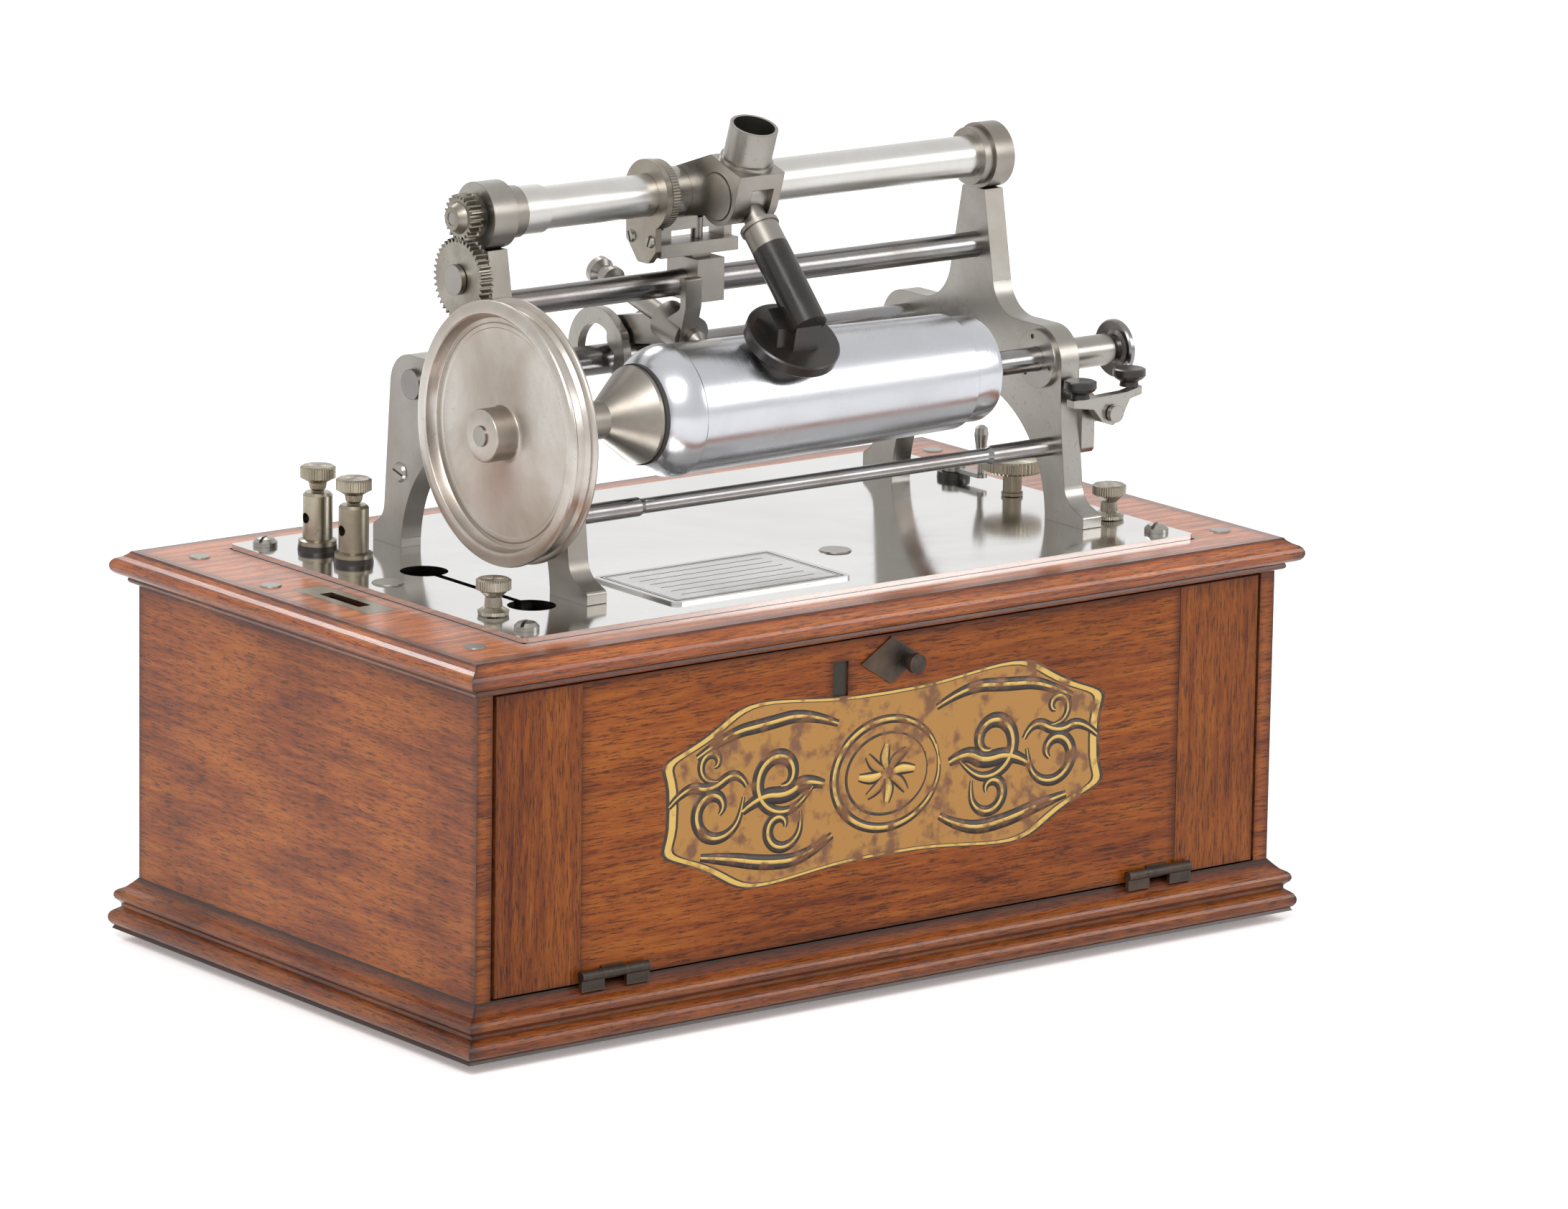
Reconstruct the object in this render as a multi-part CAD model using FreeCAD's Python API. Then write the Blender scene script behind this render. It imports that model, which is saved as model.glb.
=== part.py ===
import FreeCAD, Part
import math
import os

# Wax cylinder dictating machine. Millimetres, +Z up, +X from the pulley to the tail spindle,
# -Y towards the operator. The origin is under the middle of the case, on the surface it stands on.

# Case
BODY_LENGTH = 355.6
BODY_DEPTH = 207.2
FOOT_HEIGHT = 4.0
PLINTH_HEIGHT = 19.2
BODY_HEIGHT = 108.2
BOARD = 12.0
BOTTOM_BOARD = 12.0
BEAD_HEIGHT = 3.0
BEAD_OVERHANG = 3.0
TOP_BOARD = 8.9
NOSING_OVERHANG = 7.8
NOSING_LIP = 2.1
TORUS_OVERHANG = 8.2
UPPER_TORUS_OVERHANG = 6.7
DOOR_GAP = 1.2
DOOR_THICKNESS = 11.0
SIDE_EDGE = 6.5
DOOR_END_WIDTH = 37.0
FOOT_RADIUS = 9.0

# Bedplate
BED_X0 = -148.4
BED_X1 = 151.1
BED_HALF_DEPTH = 89.5
BED_THICKNESS = 5.0
BED_PROUD = 1.9
BED_LEDGE = 9.0
BED_CORNER = 2.0
FIT_GAP = 0.3

# Standards that carry the works
FRAME_THICKNESS = 8.5
LEFT_FRAME_X = -101.3
RIGHT_FRAME_X = 121.6
ARCH_RADIUS = 45.0
ARCH_Y = 5.0

# Axes, as (y, z)
TUBE_AXIS = (4.0, 273.0)
GUIDE_AXIS = (4.0, 240.0)
BACK_AXIS = (43.0, 206.0)
MANDREL_AXIS = (-35.0, 204.0)
STAY_AXIS = (-41.5, 172.5)
TUBE_RADIUS = 7.65
TUBE_BORE = 5.65
GUIDE_RADIUS = 4.75
BACK_RADIUS = 5.5
STAY_RADIUS = 2.75
STAY_FERRULE_RADIUS = 3.45
STAY_FERRULE = 30.0
RUNNING = 0.05

# Spindle
SHAFT_RADIUS = 3.6
PULLEY_X0 = -122.5
PULLEY_WIDTH = 11.5
PULLEY_RADIUS = 47.0
PULLEY_HUB_RADIUS = 9.5
PULLEY_HUB_X = -128.0
CHUCK_NECK_RADIUS = 6.8
CHUCK_RADIUS = 17.5
CHUCK_X0 = -92.2
CONE_X0 = -76.5
CONE_X1 = -62.5
CHUCK_FACE_X = -60.9
RING_THICKNESS = 1.5
MANDREL_RIM_X = -47.0
MANDREL_RIM_RADIUS = 23.8
MANDREL_LARGE_RADIUS = 23.3
MANDREL_SMALL_RADIUS = 20.9
MANDREL_STEP_X = 78.0
MANDREL_END_X = 91.0
MANDREL_STEP_RADIUS = 19.2
MANDREL_WALL = 3.0
TAIL_RADIUS = 4.45
TAIL_TUBE_RADIUS = 5.8
TAIL_TUBE_END_X = 152.7
TAIL_FLANGE_RADIUS = 10.7
TAIL_FLANGE = 1.8
TAIL_DISC_X = 156.0
TAIL_DISC_RADIUS = 10.6

# Gears
GEAR_MODULE = 0.7056
GEAR_X0 = -110.3
GEAR_WIDTH = 4.8
FEED_TEETH = 22
IDLER_TEETH = 40
LOWER_IDLER_TEETH = 56
DRIVE_TEETH = 22
TOOTH_BACKLASH = 0.16
STUD_RADIUS = 3.0
FEED_SCREW_RADIUS = 4.0

# Carriage
CARRIAGE_X = -3.2
CARRIAGE_TILT = 18.0
BARREL_AXIS = (-19.4, 274.7)
BARREL_RADIUS = 8.4
BLOCK_X0 = -14.8
BLOCK_X1 = 4.9
BLOCK_RADIUS = 10.4
BLOCK_TOP = 12.7
SLEEVE_X0 = -26.0
SLEEVE_RADIUS = 9.2
NIPPLE_RADIUS = 8.7
NIPPLE_BORE = 7.5
NIPPLE_LENGTH = 14.5
RECORDER_DIP = 46.3
RECORDER_LIFT = 26.0
NECK_RADIUS = 4.2
MOUTH_WIDTH = 9.4
SPOUT_RADIUS = 6.7
SPOUT_START = 24.0
SPOUT_END = 57.5
HEAD_RADIUS = 17.5
HEAD_THICKNESS = 5.0
HEAD_CENTRE = (-50.4, 228.6)
HEAD_TILT = 32.0

# Motor in the case
MOTOR_AXIS = (5.0, 75.0)
MOTOR_X0 = -70.0
MOTOR_LENGTH = 62.0
ARMATURE_RADIUS = 27.0
ARMATURE_GAP = 1.2
MOTOR_SHAFT_RADIUS = 3.5
MOTOR_PULLEY_RADIUS = 13.0
BELT_X = -116.3

# Heights that follow
PLINTH_TOP = FOOT_HEIGHT + PLINTH_HEIGHT
BODY_TOP = PLINTH_TOP + BODY_HEIGHT
BOARD_BOTTOM = BODY_TOP + BEAD_HEIGHT
BOARD_TOP = BOARD_BOTTOM + TOP_BOARD
BED_TOP = BOARD_TOP + BED_PROUD
BED_BOTTOM = BED_TOP - BED_THICKNESS
HALF_L = BODY_LENGTH / 2
HALF_D = BODY_DEPTH / 2
GEAR_X1 = GEAR_X0 + GEAR_WIDTH
LEFT_INNER_X = LEFT_FRAME_X + FRAME_THICKNESS
RIGHT_OUTER_X = RIGHT_FRAME_X + FRAME_THICKNESS
PULLEY_X1 = PULLEY_X0 + PULLEY_WIDTH

os.makedirs("parts", exist_ok=True)


def vec(x, y, z):
    return FreeCAD.Vector(x, y, z)


def emit(name, *shapes):
    """Write one sub-part, whose pieces stay separate solids."""
    solids = []
    for shape in shapes:
        solids.extend(shape.removeSplitter().Solids)
    body = solids[0] if len(solids) == 1 else Part.makeCompound(solids)
    body.exportStep("parts/%s.step" % name)
    return body


def fuse(*shapes):
    return shapes[0].multiFuse(list(shapes[1:])) if len(shapes) > 1 else shapes[0]


def box(x0, x1, y0, y1, z0, z1):
    return Part.makeBox(x1 - x0, y1 - y0, z1 - z0, vec(x0, y0, z0))


def rod_x(x0, x1, axis, radius):
    return Part.makeCylinder(radius, x1 - x0, vec(x0, axis[0], axis[1]), vec(1, 0, 0))


def rod_y(y0, y1, x, z, radius):
    return Part.makeCylinder(radius, y1 - y0, vec(x, y0, z), vec(0, 1, 0))


def rod_z(z0, z1, x, y, radius):
    return Part.makeCylinder(radius, z1 - z0, vec(x, y, z0), vec(0, 0, 1))


def ring_x(x0, x1, axis, radius, bore):
    return rod_x(x0, x1, axis, radius).cut(rod_x(x0 - 1, x1 + 1, axis, bore))


def turned(origin, along, profile):
    """Solid of revolution; the profile is (distance along the axis, radius) from end to end."""
    points = [vec(profile[0][0], 0, 0)]
    points += [vec(s, r, 0) for s, r in profile]
    points += [vec(profile[-1][0], 0, 0), points[0]]
    clean = [points[0]]
    for p in points[1:]:
        if (p - clean[-1]).Length > 1e-6:
            clean.append(p)
    face = Part.Face(Part.makePolygon(clean))
    solid = face.revolve(vec(0, 0, 0), vec(1, 0, 0), 360)
    solid.Placement = FreeCAD.Placement(vec(*origin), FreeCAD.Rotation(vec(1, 0, 0), vec(*along)))
    return Part.Solid(solid.Solids[0]) if solid.Solids else Part.Solid(Part.Shell(solid.Faces))


def turned_x(axis, profile):
    return turned((0, axis[0], axis[1]), (1, 0, 0), profile)


def turned_z(x, y, profile):
    return turned((x, y, 0), (0, 0, 1), profile)


def rounded_wire(corners):
    """Closed wire through 3-D corner points, each with its own fillet radius."""
    edges = []
    last = None
    first = None
    count = len(corners)
    for i in range(count):
        p, r = corners[i]
        if r <= 0:
            start = end = p
        else:
            before = (corners[i - 1][0] - p).normalize()
            after = (corners[(i + 1) % count][0] - p).normalize()
            half = before.getAngle(after) / 2
            reach = r / math.tan(half)
            start = p + before * reach
            end = p + after * reach
            middle = (before + after).normalize()
            centre = p + middle * (r / math.sin(half))
            edges_arc = Part.Arc(start, centre - middle * r, end).toShape()
        if last is not None and (start - last).Length > 1e-6:
            edges.append(Part.makeLine(last, start))
        if r > 0:
            edges.append(edges_arc)
        if first is None:
            first = start
        last = end
    if (first - last).Length > 1e-6:
        edges.append(Part.makeLine(last, first))
    return Part.Wire(edges)


def plate_x(x0, x1, corners):
    """Flat plate across X; corners are (y, z, fillet radius)."""
    wire = rounded_wire([(vec(x0, y, z), r) for y, z, r in corners])
    return Part.Face(wire).extrude(vec(x1 - x0, 0, 0))


def plate_z(z0, z1, corners):
    """Flat plate across Z; corners are (x, y, fillet radius)."""
    wire = rounded_wire([(vec(x, y, z0), r) for x, y, r in corners])
    return Part.Face(wire).extrude(vec(0, 0, z1 - z0))


def strap_x(x0, x1, a, radius_a, b, radius_b):
    """Flat link across X with round ends about two (y, z) points, its sides tangent to both."""
    dy, dz = b[0] - a[0], b[1] - a[1]
    length = math.hypot(dy, dz)
    base = math.atan2(dz, dy)
    lean = math.acos((radius_a - radius_b) / length)
    points = []
    for (y, z), radius, turn in ((a, radius_a, lean), (b, radius_b, lean),
                                 (b, radius_b, -lean), (a, radius_a, -lean)):
        points.append(vec(x0, y + radius * math.cos(base + turn), z + radius * math.sin(base + turn)))
    web = Part.Face(Part.makePolygon(points + [points[0]])).extrude(vec(x1 - x0, 0, 0))
    return fuse(web, rod_x(x0, x1, a, radius_a), rod_x(x0, x1, b, radius_b))


def moulding(profile, half_x, half_y):
    """Four mitred strips round a rectangle; the profile is (overhang, z) points."""
    strips = []
    reach = max(o for o, z in profile) + 1
    low = min(z for o, z in profile) - 1
    high = max(z for o, z in profile) + 1
    inner = min(o for o, z in profile)
    for long_half, cross_half, angle in ((half_x, half_y, 0), (half_y, half_x, 90),
                                         (half_x, half_y, 180), (half_y, half_x, 270)):
        points = [vec(-long_half - reach, -cross_half - o, z) for o, z in profile]
        strip = Part.Face(Part.makePolygon(points + [points[0]]))
        strip = strip.extrude(vec(2 * (long_half + reach), 0, 0))
        mitre = [vec(-long_half - inner, -cross_half - inner, low),
                 vec(long_half + inner, -cross_half - inner, low),
                 vec(long_half + reach, -cross_half - reach, low),
                 vec(-long_half - reach, -cross_half - reach, low)]
        wedge = Part.Face(Part.makePolygon(mitre + [mitre[0]])).extrude(vec(0, 0, high - low))
        strip = strip.common(wedge)
        strip.rotate(vec(0, 0, 0), vec(0, 0, 1), angle)
        strips.append(strip)
    return strips


def arc_points(cx, cz, radius, start, end, steps):
    """Points (overhang, z) on an arc, angles in degrees from the outward direction."""
    out = []
    for i in range(steps + 1):
        a = math.radians(start + (end - start) * i / steps)
        out.append((cx + radius * math.cos(a), cz + radius * math.sin(a)))
    return out


def gear(x0, x1, axis, teeth, phase, bore):
    """Spur gear across X with a tooth centred at the phase angle (radians from +Y to +Z)."""
    pitch_radius = GEAR_MODULE * teeth / 2
    tip = pitch_radius + GEAR_MODULE
    root = pitch_radius - 1.2 * GEAR_MODULE
    half_pitch = (math.pi * GEAR_MODULE / 2 - TOOTH_BACKLASH) / 2 / pitch_radius
    lean = math.tan(math.radians(20)) * GEAR_MODULE / pitch_radius
    points = []
    for k in range(teeth):
        centre = phase + 2 * math.pi * k / teeth
        for radius, half in ((root, -half_pitch - 1.1 * lean), (tip, -half_pitch + lean),
                             (tip, half_pitch - lean), (root, half_pitch + 1.1 * lean)):
            a = centre + half
            points.append(vec(x0, axis[0] + radius * math.cos(a), axis[1] + radius * math.sin(a)))
    blank = Part.Face(Part.makePolygon(points + [points[0]])).extrude(vec(x1 - x0, 0, 0))
    return blank.cut(rod_x(x0 - 1, x1 + 1, axis, bore))


def mesh_phase(axis_a, teeth_a, phase_a, axis_b, teeth_b):
    """Phase that puts a gap of gear b where gear a has a tooth, and the other way round."""
    line = math.atan2(axis_b[1] - axis_a[1], axis_b[0] - axis_a[0])
    return line + math.pi - (math.pi - (line - phase_a) * teeth_a) / teeth_b


def placed_by_distance(a, reach_a, b, reach_b, side):
    """Point at the two distances from a and b, on the side given by the sign."""
    dy, dz = b[0] - a[0], b[1] - a[1]
    span = math.hypot(dy, dz)
    along = (span * span + reach_a * reach_a - reach_b * reach_b) / (2 * span)
    off = math.sqrt(max(reach_a * reach_a - along * along, 0)) * side
    return (a[0] + along * dy / span - off * dz / span, a[1] + along * dz / span + off * dy / span)


def slotted_head(x, y, z0, radius, height, turn=20):
    """Round screw head with a driver slot, seated at z0."""
    head = turned_z(x, y, [(z0, radius), (z0 + height * 0.45, radius), (z0 + height * 0.85, radius * 0.72),
                           (z0 + height, radius * 0.35)])
    slot = box(-radius - 1, radius + 1, -0.6, 0.6, z0 + height * 0.5, z0 + height + 1)
    slot.rotate(vec(0, 0, 0), vec(0, 0, 1), turn)
    slot.translate(vec(x, y, 0))
    return head.cut(slot)


# Case of boards
INNER_X = HALF_L - BOARD
INNER_Y = HALF_D - BOARD
SIDE_FOOT = FOOT_HEIGHT + 2.0
BOTTOM_Z1 = PLINTH_TOP - 2.0
BOTTOM_Z0 = BOTTOM_Z1 - BOTTOM_BOARD
DOOR_Y0 = -HALF_D
DOOR_Y1 = DOOR_Y0 + DOOR_THICKNESS
DOOR_X = HALF_L - SIDE_EDGE - DOOR_GAP
DOOR_Z0 = PLINTH_TOP + 0.6
DOOR_Z1 = BODY_TOP - 1.0
HINGE_Y = DOOR_Y0 - 2.0
HINGE_Z = PLINTH_TOP + 3.4


def side_board(sign):
    """End board, rebated in front so that only a narrow edge shows beside the door."""
    x0, x1 = sorted((sign * HALF_L, sign * INNER_X))
    board = box(x0, x1, -HALF_D, HALF_D, SIDE_FOOT, BODY_TOP)
    r0, r1 = sorted((sign * (HALF_L - SIDE_EDGE), sign * (INNER_X - 1)))
    return board.cut(box(r0, r1, -HALF_D - 1, DOOR_Y1 + FIT_GAP, PLINTH_TOP, BODY_TOP + 1))


emit("case_boards", side_board(-1), side_board(1),
     box(-INNER_X, INNER_X, -HALF_D, HALF_D, BOTTOM_Z0, BOTTOM_Z1),
     box(-INNER_X, INNER_X, INNER_Y, HALF_D, BOTTOM_Z1, BODY_TOP))

base_profile = [(0, FOOT_HEIGHT), (7.1, FOOT_HEIGHT)]
base_profile += arc_points(TORUS_OVERHANG - 3.4, FOOT_HEIGHT + 4.0, 3.4, -60, 60, 6)
base_profile += [(4.6, FOOT_HEIGHT + 8.2), (4.6, FOOT_HEIGHT + 9.4)]
base_profile += arc_points(UPPER_TORUS_OVERHANG - 2.4, FOOT_HEIGHT + 12.4, 2.4, -60, 60, 5)
base_profile += [(3.4, FOOT_HEIGHT + 15.6), (1.6, FOOT_HEIGHT + 17.4), (0, PLINTH_TOP)]
emit("base_moulding", *moulding(base_profile, HALF_L, HALF_D))

bead = [(-BOARD, BODY_TOP), (0.6, BODY_TOP)]
bead += arc_points(BEAD_OVERHANG - 1.4, BODY_TOP + 1.5, 1.4, -70, 70, 4)
bead += [(0.6, BOARD_BOTTOM), (-BOARD, BOARD_BOTTOM)]

nosing = [(0, BOARD_BOTTOM), (3.4, BOARD_BOTTOM)]
nosing += arc_points(NOSING_OVERHANG - 3.2, BOARD_BOTTOM + 3.4, 3.2, -75, 60, 6)
nosing += [(4.2, BOARD_BOTTOM + 7.0), (NOSING_LIP + 0.6, BOARD_TOP - 0.8), (NOSING_LIP, BOARD_TOP),
           (0, BOARD_TOP)]
emit("top_mouldings", *moulding(nosing, HALF_L, HALF_D), *moulding(bead, HALF_L, HALF_D))

OPEN_X0 = BED_X0 + BED_LEDGE
OPEN_X1 = BED_X1 - BED_LEDGE
OPEN_Y = BED_HALF_DEPTH - BED_LEDGE
LOCK_X = -HALF_L + 17.3
LOCK_Y = 0.0
LOCK_HALF = 22.5
LOCK_WIDTH = 12.0
LOCK_THICKNESS = 1.5
LOCK_SLOT = 14.0


def top_board():
    """Top of the case: a rebate takes the bedplate and an opening lets the works hang through."""
    board = box(-HALF_L, HALF_L, -HALF_D, HALF_D, BOARD_BOTTOM, BOARD_TOP)
    board = board.cut(box(OPEN_X0, OPEN_X1, -OPEN_Y, OPEN_Y, BOARD_BOTTOM - 1, BOARD_TOP + 1))
    seat = FIT_GAP + BED_HALF_DEPTH
    board = board.cut(box(BED_X0 - FIT_GAP, BED_X1 + FIT_GAP, -seat, seat, BED_BOTTOM, BOARD_TOP + 1))
    lock = box(LOCK_X - LOCK_WIDTH / 2, LOCK_X + LOCK_WIDTH / 2, LOCK_Y - LOCK_HALF, LOCK_Y + LOCK_HALF,
               BOARD_TOP - LOCK_THICKNESS, BOARD_TOP + 1)
    return board.cut(lock).cut(box(LOCK_X - 3.5, LOCK_X + 3.5, LOCK_Y - LOCK_SLOT, LOCK_Y + LOCK_SLOT,
                                   BOARD_BOTTOM - 1, BOARD_TOP))


emit("top_board", top_board())

lock_plate = box(LOCK_X - LOCK_WIDTH / 2, LOCK_X + LOCK_WIDTH / 2, LOCK_Y - LOCK_HALF, LOCK_Y + LOCK_HALF,
                 BOARD_TOP - LOCK_THICKNESS, BOARD_TOP)
lock_plate = lock_plate.cut(box(LOCK_X - 2.6, LOCK_X + 2.6, LOCK_Y - 12.0, LOCK_Y + 12.0,
                                BOARD_TOP - 3, BOARD_TOP + 1))
emit("lock_plate", lock_plate)

feet = []
for sx in (-1, 1):
    for sy in (-1, 1):
        feet.append(turned_z(sx * (INNER_X - 10), sy * (INNER_Y - 2),
                             [(0, FOOT_RADIUS - 1), (1, FOOT_RADIUS), (BOTTOM_Z0, FOOT_RADIUS)]))
emit("feet", *feet)

# Front door
KNOB_X = 8.1
KNOB_Z = BODY_TOP - 11.7
LATCH_HALF = 13.5
HINGE_XS = (-120.0, 124.6)
HINGE_LENGTH = 29.0
HINGE_PIN = 0.9
HINGE_BARREL = 1.9
KEYHOLE_X = -21.2
KEYHOLE_Z = KNOB_Z - 3.1
KEYHOLE = (6.4, 13.0)

panel_end = DOOR_X - DOOR_END_WIDTH
keyhole = box(KEYHOLE_X - KEYHOLE[0] / 2, KEYHOLE_X + KEYHOLE[0] / 2, DOOR_Y0 - 1, DOOR_Y1 + 1,
              KEYHOLE_Z - KEYHOLE[1] / 2, KEYHOLE_Z + KEYHOLE[1] / 2)
knob_hole = rod_y(DOOR_Y0 - 1, DOOR_Y1 + 1, KNOB_X, KNOB_Z, 2.0)
emit("door_boards", box(-panel_end, panel_end, DOOR_Y0, DOOR_Y1, DOOR_Z0, DOOR_Z1).cut(keyhole).cut(knob_hole),
     box(-DOOR_X, -panel_end, DOOR_Y0, DOOR_Y1, DOOR_Z0, DOOR_Z1),
     box(panel_end, DOOR_X, DOOR_Y0, DOOR_Y1, DOOR_Z0, DOOR_Z1))

escutcheon = Part.Face(Part.makePolygon([vec(KNOB_X - 7.3 - LATCH_HALF, DOOR_Y0, KNOB_Z + 1.3),
                                         vec(KNOB_X - 7.3, DOOR_Y0, KNOB_Z - 7.2),
                                         vec(KNOB_X - 7.3 + LATCH_HALF, DOOR_Y0, KNOB_Z + 1.3),
                                         vec(KNOB_X - 7.3, DOOR_Y0, KNOB_Z + 9.8),
                                         vec(KNOB_X - 7.3 - LATCH_HALF, DOOR_Y0, KNOB_Z + 1.3)]))
escutcheon = escutcheon.extrude(vec(0, -0.8, 0)).cut(rod_y(DOOR_Y0 - 2, DOOR_Y0 + 1, KNOB_X, KNOB_Z, 2.0))
moving_leaves = []
fixed_leaves = []
for hx in HINGE_XS:
    third = HINGE_LENGTH / 3
    knuckle = ring_x(hx - third / 2 + 0.1, hx + third / 2 - 0.1, (HINGE_Y, HINGE_Z), HINGE_BARREL,
                     HINGE_PIN + RUNNING)
    leaf = box(hx - third / 2 + 0.1, hx + third / 2 - 0.1, HINGE_Y + 1.0, DOOR_Y0, HINGE_Z, HINGE_Z + 2.4)
    leaf = fuse(leaf, knuckle).cut(rod_x(hx - 20, hx + 20, (HINGE_Y, HINGE_Z), HINGE_PIN + RUNNING))
    moving_leaves.append(leaf)
    for s in (-1, 1):
        a, b = sorted((s * third / 2, s * HINGE_LENGTH / 2))
        ear = rod_x(hx + a, hx + b, (HINGE_Y, HINGE_Z), HINGE_BARREL)
        foot = box(hx + a, hx + b, HINGE_Y - 0.9, HINGE_Y + 0.9, PLINTH_TOP - 2.0, HINGE_Z)
        fixed_leaves.append(fuse(ear, foot))
    pin = rod_x(hx - third / 2 - 1, hx + third / 2 + 1, (HINGE_Y, HINGE_Z), HINGE_PIN)
    fixed_leaves[-1] = fuse(fixed_leaves[-1], fixed_leaves[-2], pin)
    fixed_leaves.pop(-2)
emit("door_ironwork", escutcheon, *moving_leaves)
emit("case_hinge_leaves", *[leaf.cut(fuse(*moulding(base_profile, HALF_L, HALF_D))) for leaf in fixed_leaves])
knob = turned((KNOB_X, DOOR_Y1 - 1, KNOB_Z), (0, -1, 0),
              [(0, 1.9), (DOOR_THICKNESS + 0.3, 1.9), (DOOR_THICKNESS + 1.4, 3.0),
               (DOOR_THICKNESS + 3.6, 3.7), (DOOR_THICKNESS + 5.6, 3.6), (DOOR_THICKNESS + 6.8, 2.0)])
latch = box(KNOB_X - 3.0, KNOB_X + 14.0, DOOR_Y1 + 1.4, DOOR_Y1 + 3.4, KNOB_Z - 2.5, KNOB_Z + 2.5)
latch_stem = rod_y(DOOR_Y1 - 1, DOOR_Y1 + 3.4, KNOB_X, KNOB_Z, 1.9)
emit("door_knob", fuse(knob, latch, latch_stem))

# Bedplate
BELT_HOLE_RADIUS = 8.6
BELT_HOLES = (14.7, -49.9)
BELT_SLOT = 3.0
POSTS = ((-127.5, 64.6), (-128.8, 40.3))
THUMB_SCREWS = ((-135.7, -54.1), (141.9, -52.0))
SWITCH = (139.5, 35.7)
SPEED = (137.2, -1.8)
STUD_HOLE = 2.25
SCREW_Y = HALF_D - 19.6


def bedplate():
    plate = plate_z(BED_BOTTOM, BED_TOP, [(BED_X0, -BED_HALF_DEPTH, BED_CORNER),
                                          (BED_X1, -BED_HALF_DEPTH, BED_CORNER),
                                          (BED_X1, BED_HALF_DEPTH, BED_CORNER),
                                          (BED_X0, BED_HALF_DEPTH, BED_CORNER)])
    cuts = [rod_z(BED_BOTTOM - 1, BED_TOP + 1, BELT_X, y, BELT_HOLE_RADIUS) for y in BELT_HOLES]
    cuts.append(box(BELT_X - BELT_SLOT / 2, BELT_X + BELT_SLOT / 2, BELT_HOLES[1], BELT_HOLES[0],
                    BED_BOTTOM - 1, BED_TOP + 1))
    cuts += [rod_z(BED_BOTTOM - 1, BED_TOP + 1, x, y, STUD_HOLE + RUNNING)
             for x, y in THUMB_SCREWS + (SWITCH, SPEED)]
    return plate.cut(fuse(*cuts))


emit("bedplate", bedplate())

screws = [slotted_head(x, y, BED_TOP, 4.4, 3.2, 30) for x, y in
          ((-139.5, 80.0), (-139.5, -79.0), (142.0, 80.0), (142.0, -79.0))]
screws += [turned_z(x, y, [(BED_TOP, 6.0), (BED_TOP + 0.5, 5.6)]) for x, y in ((25.4, -39.5), (-137.6, 6.3))]
screws += [turned_z(x, y, [(BOARD_TOP, 4.0), (BOARD_TOP + 0.5, 3.6)]) for x, y in
              ((-HALF_L + 7.8, 32.0), (-HALF_L + 12.8, -SCREW_Y), (-HALF_L + 12.8, SCREW_Y),
               (HALF_L - 9.8, -SCREW_Y), (HALF_L - 9.8, SCREW_Y), (HALF_L - 9.8, 0.0))]
emit("plate_screws", *screws)

PLAQUE = (-75.0, 3.5, -78.0, -28.5)
plaque = plate_z(BED_TOP, BED_TOP + 0.9, [(PLAQUE[0], PLAQUE[2], 3), (PLAQUE[1], PLAQUE[2], 3),
                                          (PLAQUE[1], PLAQUE[3], 3), (PLAQUE[0], PLAQUE[3], 3)])
emit("plaque", plaque)

# Standards
def standard_outline(x0, x1):
    """Casting seen from the end: two feet, an arch between them and an arm up to the tube."""
    my, mz = MANDREL_AXIS
    by, bz = BACK_AXIS
    ty, tz = TUBE_AXIS
    shoulder = mz + 12.3
    corners = [
        (-62.0, BED_TOP, 0.4), (-62.0, BED_TOP + 4.4, 1.5), (-51.5, BED_TOP + 8.4, 9.0),
        (my - 12.8, mz - 20.0, 60.0), (my - 12.4, shoulder, 13.0),
        (ty - 13.4, shoulder, 14.0), (ty - 5.2, tz - 12.0, 0),
        (ty + 7.6, tz - 12.0, 0), (ty + 16.4, bz + 10.2, 16.0),
        (by + 13.6, bz + 10.2, 12.0), (by + 18.0, BED_TOP + 10.0, 8.0),
        (by + 24.5, BED_TOP + 6.0, 1.5), (by + 24.5, BED_TOP, 0.4),
        (ARCH_Y + ARCH_RADIUS, BED_TOP, 0), (ARCH_Y + ARCH_RADIUS, BED_TOP + 3.0, 0),
        (ARCH_Y - ARCH_RADIUS, BED_TOP + 3.0, 0), (ARCH_Y - ARCH_RADIUS, BED_TOP, 0),
    ]
    solid = plate_x(x0, x1, corners)
    arch = rod_x(x0 - 1, x1 + 1, (ARCH_Y, BED_TOP), ARCH_RADIUS)
    return solid.cut(arch)


TUBE_BOSS = 12.0
BOSS_OUT = 1.8
COLLAR_X1 = -86.2


def standard(x0, x1):
    body = fuse(standard_outline(x0, x1), rod_x(x0, x1, TUBE_AXIS, TUBE_BOSS))
    body = body.cut(rod_x(x0 - 9, x1 + 9, TUBE_AXIS, TUBE_RADIUS))
    return body


LOWER_IDLER_REACH = GEAR_MODULE * (IDLER_TEETH + LOWER_IDLER_TEETH) / 2
DRIVE_REACH = GEAR_MODULE * (DRIVE_TEETH + LOWER_IDLER_TEETH) / 2
FEED_REACH = GEAR_MODULE * (FEED_TEETH + IDLER_TEETH) / 2
IDLER_AXIS = (TUBE_AXIS[0], TUBE_AXIS[1] - FEED_REACH)
LOWER_IDLER_AXIS = placed_by_distance(IDLER_AXIS, LOWER_IDLER_REACH, MANDREL_AXIS, DRIVE_REACH, 1)

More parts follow.
